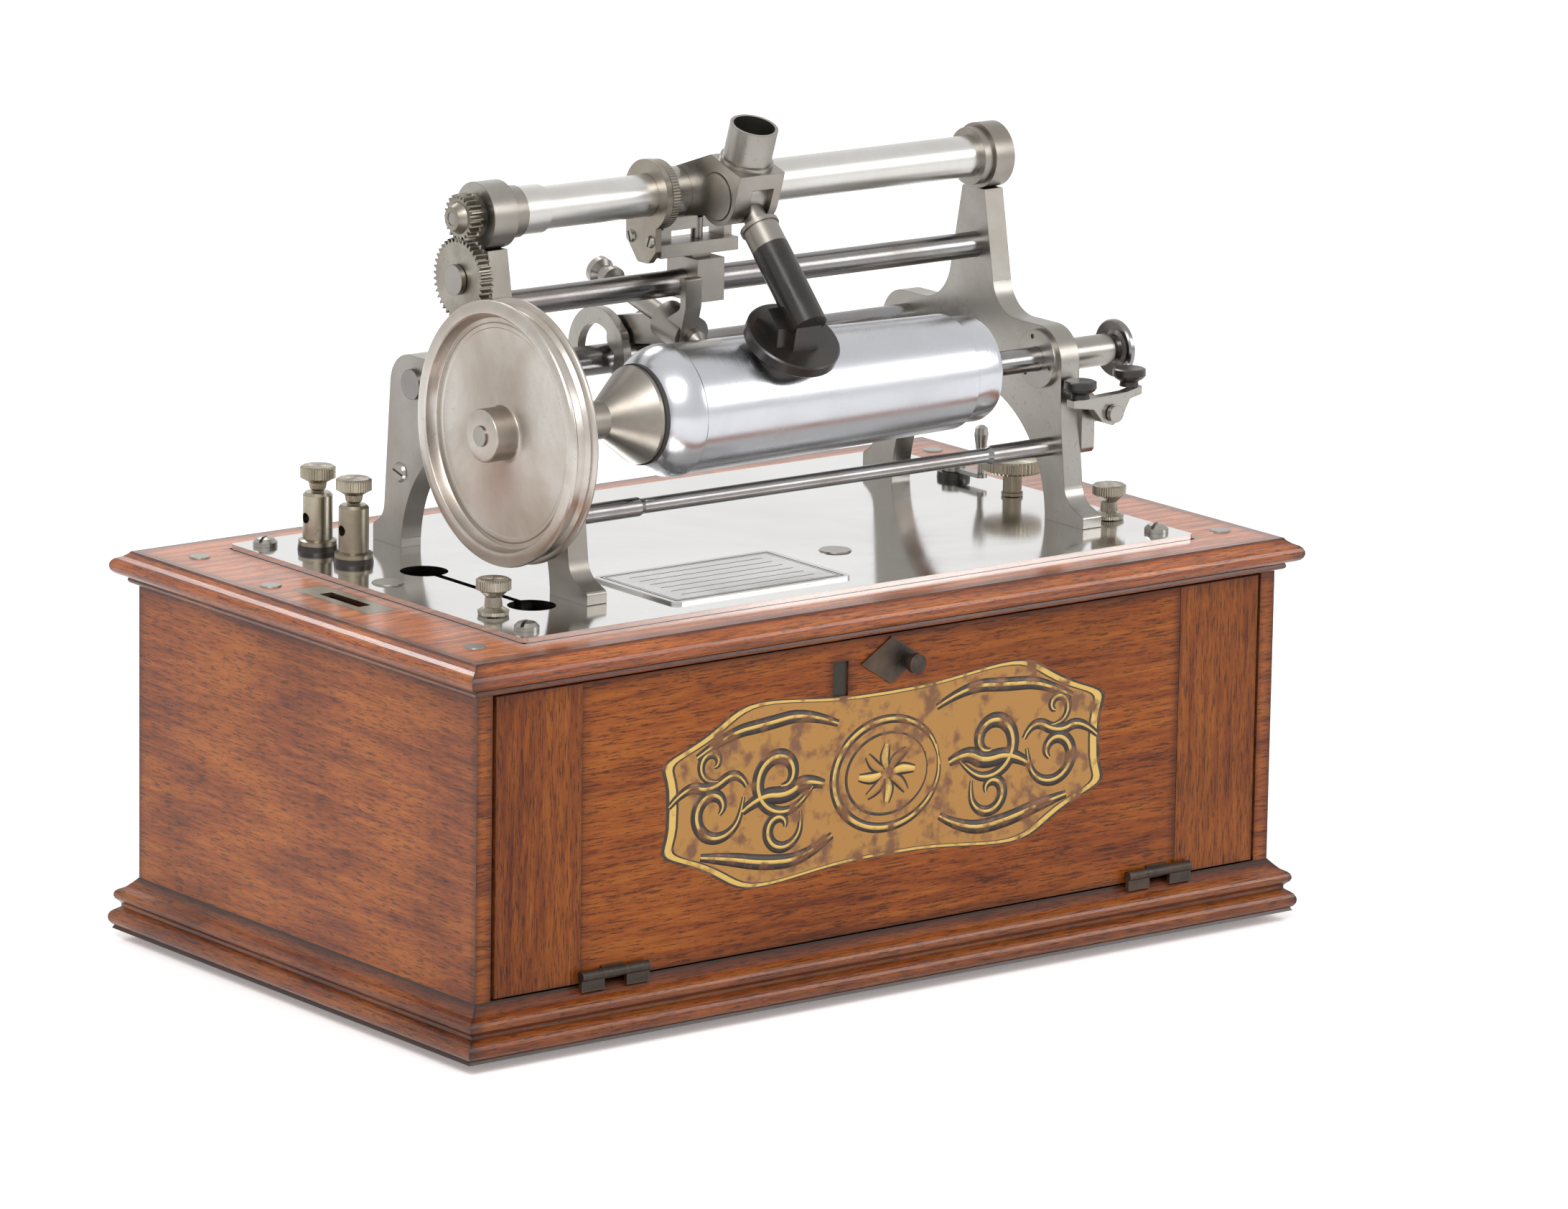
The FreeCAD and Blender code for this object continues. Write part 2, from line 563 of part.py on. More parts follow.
SPINDLE_BOSS = 10.0
BUSH_RADIUS = 6.0
left = standard(LEFT_FRAME_X, LEFT_INNER_X)
left = fuse(left, ring_x(LEFT_FRAME_X - BOSS_OUT, COLLAR_X1, TUBE_AXIS, 9.3, TUBE_RADIUS),
            ring_x(LEFT_FRAME_X - BOSS_OUT, LEFT_FRAME_X, TUBE_AXIS, TUBE_BOSS, TUBE_RADIUS),
            rod_x(LEFT_FRAME_X - 3.4, LEFT_FRAME_X, MANDREL_AXIS, SPINDLE_BOSS))
left = left.cut(rod_x(-140, 0, MANDREL_AXIS, BUSH_RADIUS)).cut(rod_x(-140, 0, BACK_AXIS, BACK_RADIUS))
left = left.cut(rod_x(LEFT_FRAME_X + 4, 0, GUIDE_AXIS, GUIDE_RADIUS))
left = left.cut(rod_x(-140, 0, IDLER_AXIS, STUD_RADIUS)).cut(rod_x(-98, 0, STAY_AXIS, STAY_RADIUS))
emit("left_standard", left)

right = standard(RIGHT_FRAME_X, RIGHT_OUTER_X)
right = fuse(right, ring_x(RIGHT_FRAME_X - 4.0, RIGHT_FRAME_X, TUBE_AXIS, 10.6, TUBE_RADIUS))
right = right.cut(rod_x(100, 160, MANDREL_AXIS, TAIL_TUBE_RADIUS)).cut(rod_x(0, 160, BACK_AXIS, BACK_RADIUS))
right = right.cut(rod_x(0, RIGHT_OUTER_X - 4, GUIDE_AXIS, GUIDE_RADIUS))
right = right.cut(rod_x(0, RIGHT_OUTER_X - 4, STAY_AXIS, STAY_RADIUS))
emit("right_standard", right)

emit("spindle_bush", ring_x(LEFT_FRAME_X - 3.8, LEFT_INNER_X + 0.3, MANDREL_AXIS, BUSH_RADIUS,
                            SHAFT_RADIUS + RUNNING))

# Carrying tube with the slot that the feed nut reaches through
SLOT_WIDTH = 3.2
tube = ring_x(LEFT_FRAME_X - BOSS_OUT, RIGHT_OUTER_X, TUBE_AXIS, TUBE_RADIUS, TUBE_BORE)
tube = tube.cut(box(-66.0, 106.0, TUBE_AXIS[0] - SLOT_WIDTH / 2, TUBE_AXIS[0] + SLOT_WIDTH / 2,
                    TUBE_AXIS[1] - TUBE_RADIUS - 1, TUBE_AXIS[1]))
emit("carrying_tube", tube, ring_x(COLLAR_X1, -76.1, TUBE_AXIS, 8.7, TUBE_RADIUS),
     ring_x(LEFT_FRAME_X - BOSS_OUT, -94.0, TUBE_AXIS, TUBE_BORE, FEED_SCREW_RADIUS + RUNNING),
     ring_x(RIGHT_FRAME_X, RIGHT_OUTER_X, TUBE_AXIS, TUBE_BORE, FEED_SCREW_RADIUS + RUNNING),
     rod_x(RIGHT_OUTER_X, RIGHT_OUTER_X + 2.0, TUBE_AXIS, TUBE_RADIUS))
stay = turned_x(STAY_AXIS, [
    (LEFT_FRAME_X + 3.3, STAY_RADIUS), (LEFT_INNER_X, STAY_RADIUS), (LEFT_INNER_X, STAY_FERRULE_RADIUS),
    (LEFT_INNER_X + STAY_FERRULE - 2, STAY_FERRULE_RADIUS), (LEFT_INNER_X + STAY_FERRULE, STAY_RADIUS),
    (RIGHT_FRAME_X - STAY_FERRULE, STAY_RADIUS), (RIGHT_FRAME_X - STAY_FERRULE + 2, STAY_FERRULE_RADIUS),
    (RIGHT_FRAME_X, STAY_FERRULE_RADIUS), (RIGHT_FRAME_X, STAY_RADIUS), (RIGHT_OUTER_X - 4, STAY_RADIUS)])
emit("guide_rods", rod_x(LEFT_FRAME_X + 4, RIGHT_OUTER_X - 4, GUIDE_AXIS, GUIDE_RADIUS),
     rod_x(LEFT_FRAME_X - 1.6, RIGHT_OUTER_X + 1.6, BACK_AXIS, BACK_RADIUS), stay)

# Gear train
IDLER_PHASE = 0.03
feed_phase = mesh_phase(IDLER_AXIS, IDLER_TEETH, IDLER_PHASE, TUBE_AXIS, FEED_TEETH)
lower_phase = mesh_phase(IDLER_AXIS, IDLER_TEETH, IDLER_PHASE, LOWER_IDLER_AXIS, LOWER_IDLER_TEETH)
drive_phase = mesh_phase(LOWER_IDLER_AXIS, LOWER_IDLER_TEETH, lower_phase, MANDREL_AXIS, DRIVE_TEETH)

STUD_HEAD = 5.45
STUD_SPACER = 6.0
stud = fuse(rod_x(LEFT_FRAME_X - 5.0 + 0.8, LEFT_FRAME_X, IDLER_AXIS, STUD_SPACER),
            rod_x(GEAR_X0 - 0.3, LEFT_INNER_X, IDLER_AXIS, STUD_RADIUS),
            rod_x(GEAR_X0 - 2.2, GEAR_X0 - 0.3, IDLER_AXIS, STUD_HEAD))
arm_root = (-25.5, 208.0)
lower_arm = strap_x(LEFT_FRAME_X - 3.0, LEFT_FRAME_X, LOWER_IDLER_AXIS, 6.5, arm_root, 6.5)
lower_arm = lower_arm.cut(rod_x(LEFT_FRAME_X - 4, LEFT_FRAME_X + 1, MANDREL_AXIS, SPINDLE_BOSS + FIT_GAP))
lower_stud = fuse(lower_arm, rod_x(LEFT_FRAME_X - 4.2, LEFT_FRAME_X, LOWER_IDLER_AXIS, 5.0),
                  rod_x(GEAR_X0 - 0.4, LEFT_FRAME_X, LOWER_IDLER_AXIS, STUD_RADIUS))
emit("idler_studs", stud, lower_stud)
emit("idler_gear", gear(GEAR_X0, GEAR_X1, IDLER_AXIS, IDLER_TEETH, IDLER_PHASE, STUD_RADIUS + RUNNING))
emit("lower_idler_gear", gear(GEAR_X0, GEAR_X1, LOWER_IDLER_AXIS, LOWER_IDLER_TEETH, lower_phase,
                              STUD_RADIUS + RUNNING))
feed_gear = gear(GEAR_X0, GEAR_X1, TUBE_AXIS, FEED_TEETH, feed_phase, FEED_SCREW_RADIUS - 1.6)
feed_hub = turned_x(TUBE_AXIS, [(GEAR_X0 - 2.9, 4.2), (GEAR_X0, 5.7)])
feed_hub = feed_hub.cut(rod_x(GEAR_X0 - 4, GEAR_X0 + 1, TUBE_AXIS, FEED_SCREW_RADIUS - 1.6))
emit("feed_gear", fuse(feed_gear, feed_hub))
emit("feed_screw", turned_x(TUBE_AXIS, [
    (GEAR_X0 - 2.7, FEED_SCREW_RADIUS - 1.6), (GEAR_X1, FEED_SCREW_RADIUS - 1.6),
    (GEAR_X1, FEED_SCREW_RADIUS), (RIGHT_OUTER_X - 0.4, FEED_SCREW_RADIUS)]))

# Spindle, pulley, chuck and mandrel
def pulley():
    """Flanged wheel with a crowned belt seat; the front web is sunk in a deep rim."""
    x0, x1, r = PULLEY_X0, PULLEY_X1, PULLEY_RADIUS
    outer = turned_x(MANDREL_AXIS, [(x0, r - 1.6), (x0 + 0.7, r), (x0 + 2.0, r), (x0 + 2.9, r - 2.2),
                                    (x0 + 4.4, r - 3.4), (x1 - 4.0, r - 3.4), (x1 - 2.6, r - 2.2),
                                    (x1 - 1.8, r), (x1 - 0.6, r), (x1, r - 1.0)])
    sunk = turned_x(MANDREL_AXIS, [(x0 - 1, r - 5.2), (x0, r - 5.2), (x0 + 4.6, r - 6.4)])
    back = ring_x(x1 - 3.4, x1 + 1, MANDREL_AXIS, r - 6.4, 12.0)
    bead_ring = ring_x(x0 + 4.2, x0 + 5.2, MANDREL_AXIS, r - 8.0, r - 9.4)
    hub = turned_x(MANDREL_AXIS, [(PULLEY_HUB_X, PULLEY_HUB_RADIUS - 0.7),
                                  (PULLEY_HUB_X + 0.7, PULLEY_HUB_RADIUS), (x0 + 6, PULLEY_HUB_RADIUS)])
    wheel = fuse(outer.cut(sunk).cut(back), bead_ring, hub)
    return wheel.cut(rod_x(-140, 0, MANDREL_AXIS, SHAFT_RADIUS))


emit("pulley", pulley())
emit("drive_gear", gear(GEAR_X0, GEAR_X1, MANDREL_AXIS, DRIVE_TEETH, drive_phase, SHAFT_RADIUS),
     ring_x(PULLEY_X1, GEAR_X0, MANDREL_AXIS, 6.0, SHAFT_RADIUS))
NOSE_RADIUS = 6.9
chuck = turned_x(MANDREL_AXIS, [(CHUCK_X0, CHUCK_NECK_RADIUS), (CONE_X0, CHUCK_NECK_RADIUS),
                                (CONE_X1, CHUCK_RADIUS), (CHUCK_FACE_X, CHUCK_RADIUS),
                                (CHUCK_FACE_X, NOSE_RADIUS), (CHUCK_FACE_X + 9.0, NOSE_RADIUS)])
emit("chuck_shaft", rod_x(PULLEY_HUB_X - 0.6, CHUCK_FACE_X - 4, MANDREL_AXIS, SHAFT_RADIUS),
     chuck.cut(rod_x(-100, CHUCK_FACE_X - 4, MANDREL_AXIS, SHAFT_RADIUS)))
RING_X1 = CHUCK_FACE_X + RING_THICKNESS
emit("chuck_ring", ring_x(CHUCK_FACE_X, RING_X1, MANDREL_AXIS, CHUCK_RADIUS + 0.5, NOSE_RADIUS))


def mandrel():
    """Hollow tapered sleeve with a bell shoulder at the large end."""
    span = MANDREL_RIM_X - RING_X1
    bell = [(RING_X1, CHUCK_RADIUS + 0.2)]
    for i in range(1, 8):
        t = i / 8.0
        rise = math.sin(t * math.pi / 2) ** 0.75
        bell.append((RING_X1 + span * t, CHUCK_RADIUS + (MANDREL_RIM_RADIUS - CHUCK_RADIUS) * rise))
    tip = [(MANDREL_RIM_X, MANDREL_RIM_RADIUS), (MANDREL_RIM_X + 0.6, MANDREL_LARGE_RADIUS),
           (MANDREL_STEP_X - 0.6, MANDREL_SMALL_RADIUS), (MANDREL_STEP_X, MANDREL_STEP_RADIUS + 0.4),
           (MANDREL_STEP_X + 0.5, MANDREL_STEP_RADIUS), (MANDREL_END_X - 3.0, MANDREL_STEP_RADIUS),
           (MANDREL_END_X - 0.9, MANDREL_STEP_RADIUS - 0.9), (MANDREL_END_X, MANDREL_STEP_RADIUS - 3.0)]
    skin = turned_x(MANDREL_AXIS, bell + tip)
    core = turned_x(MANDREL_AXIS, [(RING_X1 + 9.0, CHUCK_RADIUS - 2.5), (MANDREL_RIM_X + 4, MANDREL_LARGE_RADIUS
                    - MANDREL_WALL), (MANDREL_STEP_X - 4, MANDREL_STEP_RADIUS - MANDREL_WALL)])
    skin = skin.cut(core).cut(rod_x(RING_X1 - 1, RING_X1 + 12, MANDREL_AXIS, NOSE_RADIUS))
    return skin.cut(rod_x(MANDREL_STEP_X - 5, MANDREL_END_X + 1, MANDREL_AXIS, TAIL_RADIUS + RUNNING))


emit("mandrel", mandrel())

# Tail spindle
bearing = fuse(ring_x(RIGHT_FRAME_X - TAIL_FLANGE, RIGHT_FRAME_X, MANDREL_AXIS, TAIL_FLANGE_RADIUS,
                      TAIL_TUBE_RADIUS - 1),
               rod_x(RIGHT_FRAME_X - TAIL_FLANGE, TAIL_TUBE_END_X, MANDREL_AXIS, TAIL_TUBE_RADIUS))
bearing = bearing.cut(rod_x(100, 160, MANDREL_AXIS, TAIL_RADIUS + RUNNING))
for k in range(3):
    angle = math.radians(75 + 120 * k)
    spot = (MANDREL_AXIS[0] + 8.3 * math.cos(angle), MANDREL_AXIS[1] + 8.3 * math.sin(angle))
    bearing = bearing.cut(rod_x(RIGHT_FRAME_X - 3, RIGHT_FRAME_X - 0.6, spot, 0.9))
emit("tail_bearing", bearing)
emit("tail_spindle", turned_x(MANDREL_AXIS, [
    (MANDREL_END_X - 9.0, TAIL_RADIUS - 1.2), (MANDREL_END_X - 8.0, TAIL_RADIUS),
    (TAIL_DISC_X, TAIL_RADIUS)]), turned_x(MANDREL_AXIS, [
    (TAIL_DISC_X, TAIL_RADIUS + 1.0), (TAIL_DISC_X + 0.8, TAIL_RADIUS + 2.6),
    (TAIL_DISC_X - 0.4, TAIL_DISC_RADIUS - 0.6), (TAIL_DISC_X + 0.2, TAIL_DISC_RADIUS),
    (TAIL_DISC_X + 1.8, TAIL_DISC_RADIUS), (TAIL_DISC_X + 3.2, TAIL_DISC_RADIUS - 1.6),
    (TAIL_DISC_X + 3.8, TAIL_RADIUS), (TAIL_DISC_X + 4.2, 1.0)]))

# Carriage
TILT = math.radians(CARRIAGE_TILT)
AFT = (math.cos(TILT), math.sin(TILT))
RISE = (-math.sin(TILT), math.cos(TILT))


MOUTH_EASE = 35.0


def block_point(back, up):
    """Point (y, z) on the leaning block, from the barrel's axis."""
    return (BARREL_AXIS[0] + back * AFT[0] + up * RISE[0], BARREL_AXIS[1] + back * AFT[1] + up * RISE[1])


def carriage_block():
    """Leaning block round the barrel, with its mouth in front, its nipple hole and its sleeve."""
    ridge = [block_point(-BLOCK_RADIUS, 0), block_point(-BLOCK_RADIUS, BLOCK_TOP),
             block_point(8.2, BLOCK_TOP), (TUBE_AXIS[0] + 2.0, TUBE_AXIS[1] + SLEEVE_RADIUS - 0.4),
             (TUBE_AXIS[0] + 2.0, TUBE_AXIS[1] - SLEEVE_RADIUS + 0.4), block_point(4.0, -BLOCK_RADIUS + 0.8)]
    points = [vec(BLOCK_X0, y, z) for y, z in ridge]
    body = Part.Face(Part.makePolygon(points + [points[0]])).extrude(vec(BLOCK_X1 - BLOCK_X0, 0, 0))
    body = fuse(body, rod_x(BLOCK_X0, BLOCK_X1, BARREL_AXIS, BLOCK_RADIUS),
                rod_x(SLEEVE_X0, BLOCK_X1, TUBE_AXIS, SLEEVE_RADIUS))
    body = body.cut(rod_x(BLOCK_X0 - 1, BLOCK_X1 - 1.6, BARREL_AXIS, BARREL_RADIUS + RUNNING))
    body = body.cut(rod_x(-60, 60, TUBE_AXIS, TUBE_RADIUS + RUNNING))
    sector = [vec(CARRIAGE_X - MOUTH_WIDTH / 2, BARREL_AXIS[0], BARREL_AXIS[1])]
    low, high = RECORDER_DIP + MOUTH_EASE, RECORDER_LIFT - RECORDER_DIP + MOUTH_EASE
    for i in range(7):
        a = math.radians(-low + (low + high) * i / 6.0)
        sector.append(vec(CARRIAGE_X - MOUTH_WIDTH / 2, BARREL_AXIS[0] - 20 * math.cos(a), BARREL_AXIS[1] + 20 * math.sin(a)))
    mouth = Part.Face(Part.makePolygon(sector + [sector[0]])).extrude(vec(MOUTH_WIDTH, 0, 0))
    top = block_point(0, BLOCK_TOP + 2)
    bore = Part.makeCylinder(NIPPLE_BORE - 1.5, 14, vec((BLOCK_X0 + BLOCK_X1) / 2, top[0], top[1]),
                             vec(0, -RISE[0], -RISE[1]))
    return body.cut(mouth).cut(bore)


NIPPLE_X = (BLOCK_X0 + BLOCK_X1) / 2
NUT_X = CARRIAGE_X - 2.6
NUT_FINGER = box(NUT_X + 4.0, NUT_X + 9.5, TUBE_AXIS[0] - 1.3, TUBE_AXIS[0] + 1.3,
                 TUBE_AXIS[1] - 10.2, TUBE_AXIS[1] - FEED_SCREW_RADIUS - 0.3)
emit("carriage_block", carriage_block().cut(NUT_FINGER))
seat = block_point(0, BLOCK_TOP)
nipple = turned((NIPPLE_X, seat[0], seat[1]), (0, RISE[0], RISE[1]),
                [(0, NIPPLE_RADIUS + 0.9), (1.6, NIPPLE_RADIUS + 0.9), (1.6, NIPPLE_RADIUS),
                 (NIPPLE_LENGTH, NIPPLE_RADIUS)])
nipple = nipple.cut(Part.makeCylinder(NIPPLE_BORE, NIPPLE_LENGTH + 2,
                                      vec(NIPPLE_X, seat[0] - RISE[0], seat[1] - RISE[1]),
                                      vec(0, RISE[0], RISE[1])))
emit("nipple", nipple)

EYE_X0 = SLEEVE_X0 - 2.5
EYE_RADIUS = 12.9
ty, tz = TUBE_AXIS
eye = plate_x(EYE_X0, SLEEVE_X0, [(ty - 6.0, tz, 0), (ty - 6.0, tz - 20.0, 2.0), (ty - 1.6, tz - 24.6, 1.5),
                                  (ty + 4.6, tz - 24.6, 1.5), (ty + 11.6, tz - 16.5, 2.0), (ty + 11.8, tz, 0)])
eye = fuse(eye, rod_x(EYE_X0, SLEEVE_X0, TUBE_AXIS, EYE_RADIUS))
emit("eye_plate", eye.cut(rod_x(-60, 60, TUBE_AXIS, TUBE_RADIUS + RUNNING)),
     ring_x(SLEEVE_X0 + 0.4, SLEEVE_X0 + 3.6, TUBE_AXIS, 12.5, SLEEVE_RADIUS))

GUIDE_BLOCK = (-12.4, -0.4, -5.6, 12.5, 233.8, 249.4)
BAR_X1 = 8.4
gx0, gx1, gy0, gy1, gz0, gz1 = GUIDE_BLOCK
yoke = fuse(box(SLEEVE_X0 + 3.9, BAR_X1, ty - 2.0, ty + 7.0, tz - 13.6, tz - SLEEVE_RADIUS + 0.6),
            box(SLEEVE_X0, BAR_X1, ty - 6.0, ty + 7.0, tz - 22.4, tz - 17.6),
            box(BAR_X1 - 3.5, BAR_X1, ty - 2.0, ty + 7.0, tz - 22.4, tz - 10.0),
            box(SLEEVE_X0 + 2.0, SLEEVE_X0 + 7.4, ty - 2.0, ty + 7.0, tz - 22.4, tz - 13.0),
            box(gx0, gx1, gy0, gy1, gz0, gz1),
            box(gx0 + 2, gx1 - 2, ty - 4.0, ty + 5.0, gz1 - 0.5, tz - 22.0))
yoke = yoke.cut(rod_x(-60, 60, GUIDE_AXIS, GUIDE_RADIUS + RUNNING))
yoke = yoke.cut(rod_x(-60, 60, TUBE_AXIS, SLEEVE_RADIUS))
yoke = yoke.cut(rod_z(tz - 17.0, tz - 9.0, NUT_X, ty - 0.0, 2.3))
emit("carriage_yoke", yoke.cut(NUT_FINGER))
emit("feed_nut", NUT_FINGER.cut(rod_x(-60, 60, TUBE_AXIS, FEED_SCREW_RADIUS + 0.3)))

# Recorder that swings on the barrel
DIP = math.radians(RECORDER_DIP)
OUT = (-math.cos(DIP), -math.sin(DIP))
NORMAL = (-math.sin(DIP), math.cos(DIP))


def recorder_point(along, off):
    return (BARREL_AXIS[0] + along * OUT[0] + off * NORMAL[0], BARREL_AXIS[1] + along * OUT[1] + off * NORMAL[1])


def along_recorder(profile, off=0.0):
    y, z = recorder_point(0, off)
    return turned((CARRIAGE_X, y, z), (0, OUT[0], OUT[1]), profile)


barrel = rod_x(BLOCK_X0 - 0.4, BLOCK_X1 - 2.0, BARREL_AXIS, BARREL_RADIUS)
barrel = fuse(barrel, along_recorder([(0, NECK_RADIUS), (15.0, NECK_RADIUS)]))
emit("recorder_barrel", barrel, along_recorder([(13.0, 5.2), (13.8, 7.2), (15.4, 7.2), (15.4, SPOUT_RADIUS - 0.1),
                                         (SPOUT_START, SPOUT_RADIUS - 0.1)]).cut(
    along_recorder([(12, NECK_RADIUS), (15.0, NECK_RADIUS)])))
spout = along_recorder([(SPOUT_START, SPOUT_RADIUS), (SPOUT_END, SPOUT_RADIUS)])
FACE = (-math.cos(math.radians(HEAD_TILT)), -math.sin(math.radians(HEAD_TILT)))
HEAD_NORMAL = (-math.sin(math.radians(HEAD_TILT)), math.cos(math.radians(HEAD_TILT)))


def head_point(along, off):
    return (HEAD_CENTRE[0] + along * FACE[0] + off * HEAD_NORMAL[0],
            HEAD_CENTRE[1] + along * FACE[1] + off * HEAD_NORMAL[1])


SADDLE_HALF = 5.6
saddle = [recorder_point(43.0, 0), recorder_point(SPOUT_END, 0), head_point(8.0, 0), head_point(-7.0, 0)]
saddle = [vec(CARRIAGE_X - SADDLE_HALF, y, z) for y, z in saddle]
saddle = Part.Face(Part.makePolygon(saddle + [saddle[0]])).extrude(vec(2 * SADDLE_HALF, 0, 0))
LUG_THICKNESS = 4.0
lug = [head_point(-10.0, -0.4), head_point(5.0, -0.4), head_point(2.0, 6.0), head_point(-7.0, 8.0)]
lug = [vec(CARRIAGE_X - SPOUT_RADIUS - LUG_THICKNESS, y, z) for y, z in lug]
lug = Part.Face(Part.makePolygon(lug + [lug[0]])).extrude(vec(LUG_THICKNESS + 2.0, 0, 0))
head_disc = turned((CARRIAGE_X, *HEAD_CENTRE), (0, -HEAD_NORMAL[0], -HEAD_NORMAL[1]),
                   [(0, HEAD_RADIUS - 0.6), (0.6, HEAD_RADIUS), (HEAD_THICKNESS - 0.8, HEAD_RADIUS),
                    (HEAD_THICKNESS, HEAD_RADIUS - 0.8)])
emit("recorder_spout", fuse(spout, saddle, lug).cut(head_disc))
chamber = turned((CARRIAGE_X, *HEAD_CENTRE), (0, -HEAD_NORMAL[0], -HEAD_NORMAL[1]),
                 [(HEAD_THICKNESS - 2.6, HEAD_RADIUS - 3.5), (HEAD_THICKNESS + 1, HEAD_RADIUS - 3.5)])
emit("recorder_head", head_disc.cut(chamber))
diaphragm = turned((CARRIAGE_X, *HEAD_CENTRE), (0, -HEAD_NORMAL[0], -HEAD_NORMAL[1]),
                   [(HEAD_THICKNESS - 2.6, HEAD_RADIUS - 3.5), (HEAD_THICKNESS - 2.2, HEAD_RADIUS - 3.5),
                    (HEAD_THICKNESS - 2.2, 1.4), (HEAD_THICKNESS - 0.4, 0.7)])
emit("diaphragm", diaphragm)

# Depth screw between the bars
emit("depth_screw", turned_z(NUT_X, ty, [(tz - 17.4, 2.2), (tz - SLEEVE_RADIUS - 0.7, 2.2)]))

# Shaving device on the back rod
SHAVER_X = -16.0
by, bz = BACK_AXIS
PIVOT = (40.0, 217.0)
arch_x0, arch_x1 = SHAVER_X - 3.6, SHAVER_X - 0.2
shave_arch = ring_x(arch_x0, arch_x1, (by + 2, bz + 2), 17.0, 11.0)
shave_arch = shave_arch.cut(box(arch_x0 - 1, arch_x1 + 1, by - 30, by + 30, bz - 30, bz - 4))
shave_arch = fuse(shave_arch, rod_x(arch_x0, arch_x1, (PIVOT[0] - 6, PIVOT[1] - 2), 4.6))
saddle_sleeve = fuse(rod_x(-3.0, 15.0, BACK_AXIS, 8.8),
                     strap_x(-3.0, 3.0, BACK_AXIS, 8.6, PIVOT, 5.6),
                     rod_x(arch_x1, -3.0, PIVOT, 3.0))
saddle_sleeve = saddle_sleeve.cut(rod_x(-40, 40, BACK_AXIS, BACK_RADIUS + RUNNING))
emit("shaver_saddle", saddle_sleeve, shave_arch.cut(rod_x(arch_x1 - 0.001, 0, PIVOT, 3.0)))

KNIFE_SLOPE = math.radians(15.2)
BOSS_C = (0.0, 224.4)
knife_dir = (-math.cos(KNIFE_SLOPE), -math.sin(KNIFE_SLOPE))
shaver_arm = fuse(strap_x(SHAVER_X + 1.0, SHAVER_X + 8.0, PIVOT, 5.2, (BOSS_C[0] + 4, BOSS_C[1] - 1), 5.5),
                  Part.makeCylinder(7.3, 15.0, vec(SHAVER_X, BOSS_C[0] - 7.5 * knife_dir[0],
                                                   BOSS_C[1] - 7.5 * knife_dir[1]),
                                    vec(0, knife_dir[0], knife_dir[1])))
lever = plate_x(SHAVER_X - 6.0, SHAVER_X + 1.0, [(-11.6, 244.5, 1.0), (-11.6, 234.0, 4.0), (-7.6, 220.0, 2.0),
                                                 (0.4, 220.0, 0), (0.4, 228.0, 0), (-8.4, 233.0, 3.0),
                                                 (-8.4, 244.5, 1.0)])
shaver_arm = fuse(shaver_arm, lever)
shaver_arm = shaver_arm.cut(Part.makeCylinder(3.5 + RUNNING, 60, vec(SHAVER_X, BOSS_C[0] - 30 * knife_dir[0],
                                                                     BOSS_C[1] - 30 * knife_dir[1]),
                                              vec(0, knife_dir[0], knife_dir[1])))
shaver_arm = shaver_arm.cut(rod_x(-60, 30, PIVOT, 3.0 + RUNNING))
emit("shaver_arm", shaver_arm)
knife = turned((SHAVER_X, BOSS_C[0], BOSS_C[1]), (0, -knife_dir[0], -knife_dir[1]),
               [(-13.5, 1.4), (-11.0, 3.5), (34.0, 3.5), (35.0, 2.6), (40.0, 2.6), (41.0, 4.9), (43.0, 4.9),
                (44.5, 3.2), (47.0, 3.2), (48.5, 5.2), (51.0, 5.2), (51.6, 4.4)])
emit("knife_tube", knife)

# Rocking key on the right standard
KEY_Y = -54.4
KEY_X = 139.0
KEY_Z = 185.5
BUTTONS = (-14.0, 9.0)
key_bracket = fuse(plate_x(RIGHT_OUTER_X, RIGHT_OUTER_X + 6.0, [(-49.6, 192.0, 2.0), (-49.6, 170.0, 2.5),
                                                               (-41.0, 170.0, 2.5), (-41.0, 192.0, 2.0)]),
                   box(RIGHT_OUTER_X, KEY_X + 4.0, -49.6, -46.6, KEY_Z - 4.0, KEY_Z + 4.0),
                   rod_y(KEY_Y - 3.4, -46.6, KEY_X, KEY_Z, 2.0),
                   rod_y(KEY_Y - 4.4, KEY_Y - 2.4, KEY_X, KEY_Z, 3.2))
emit("key_bracket", key_bracket)
bar = Part.makePolygon([vec(KEY_X + dx, KEY_Y - 2.0, KEY_Z + dz) for dx, dz in
                        ((-18.5, 3.6), (-18.5, 6.4), (-6.0, 6.6), (6.0, 7.0), (13.5, 8.6), (13.5, 5.6),
                         (8.0, 4.4), (4.2, -2.6), (0.0, -4.6), (-4.6, -3.0), (-9.0, 2.2), (-18.5, 3.6))])
bar = Part.Face(bar).extrude(vec(0, 4.0, 0)).cut(rod_y(-70, -40, KEY_X, KEY_Z, 2.0 + RUNNING))
emit("key_lever", bar)
buttons = []
for dx, rise in zip(BUTTONS, (6.4, 8.6)):
    z0 = KEY_Z + rise + 0.2
    buttons.append(turned_z(KEY_X + dx, KEY_Y, [(z0, 3.6), (z0 + 1.6, 3.3), (z0 + 3.0, 5.4), (z0 + 4.0, 6.1),
                                               (z0 + 6.2, 6.0), (z0 + 6.6, 5.2)]))
emit("key_buttons", *buttons)

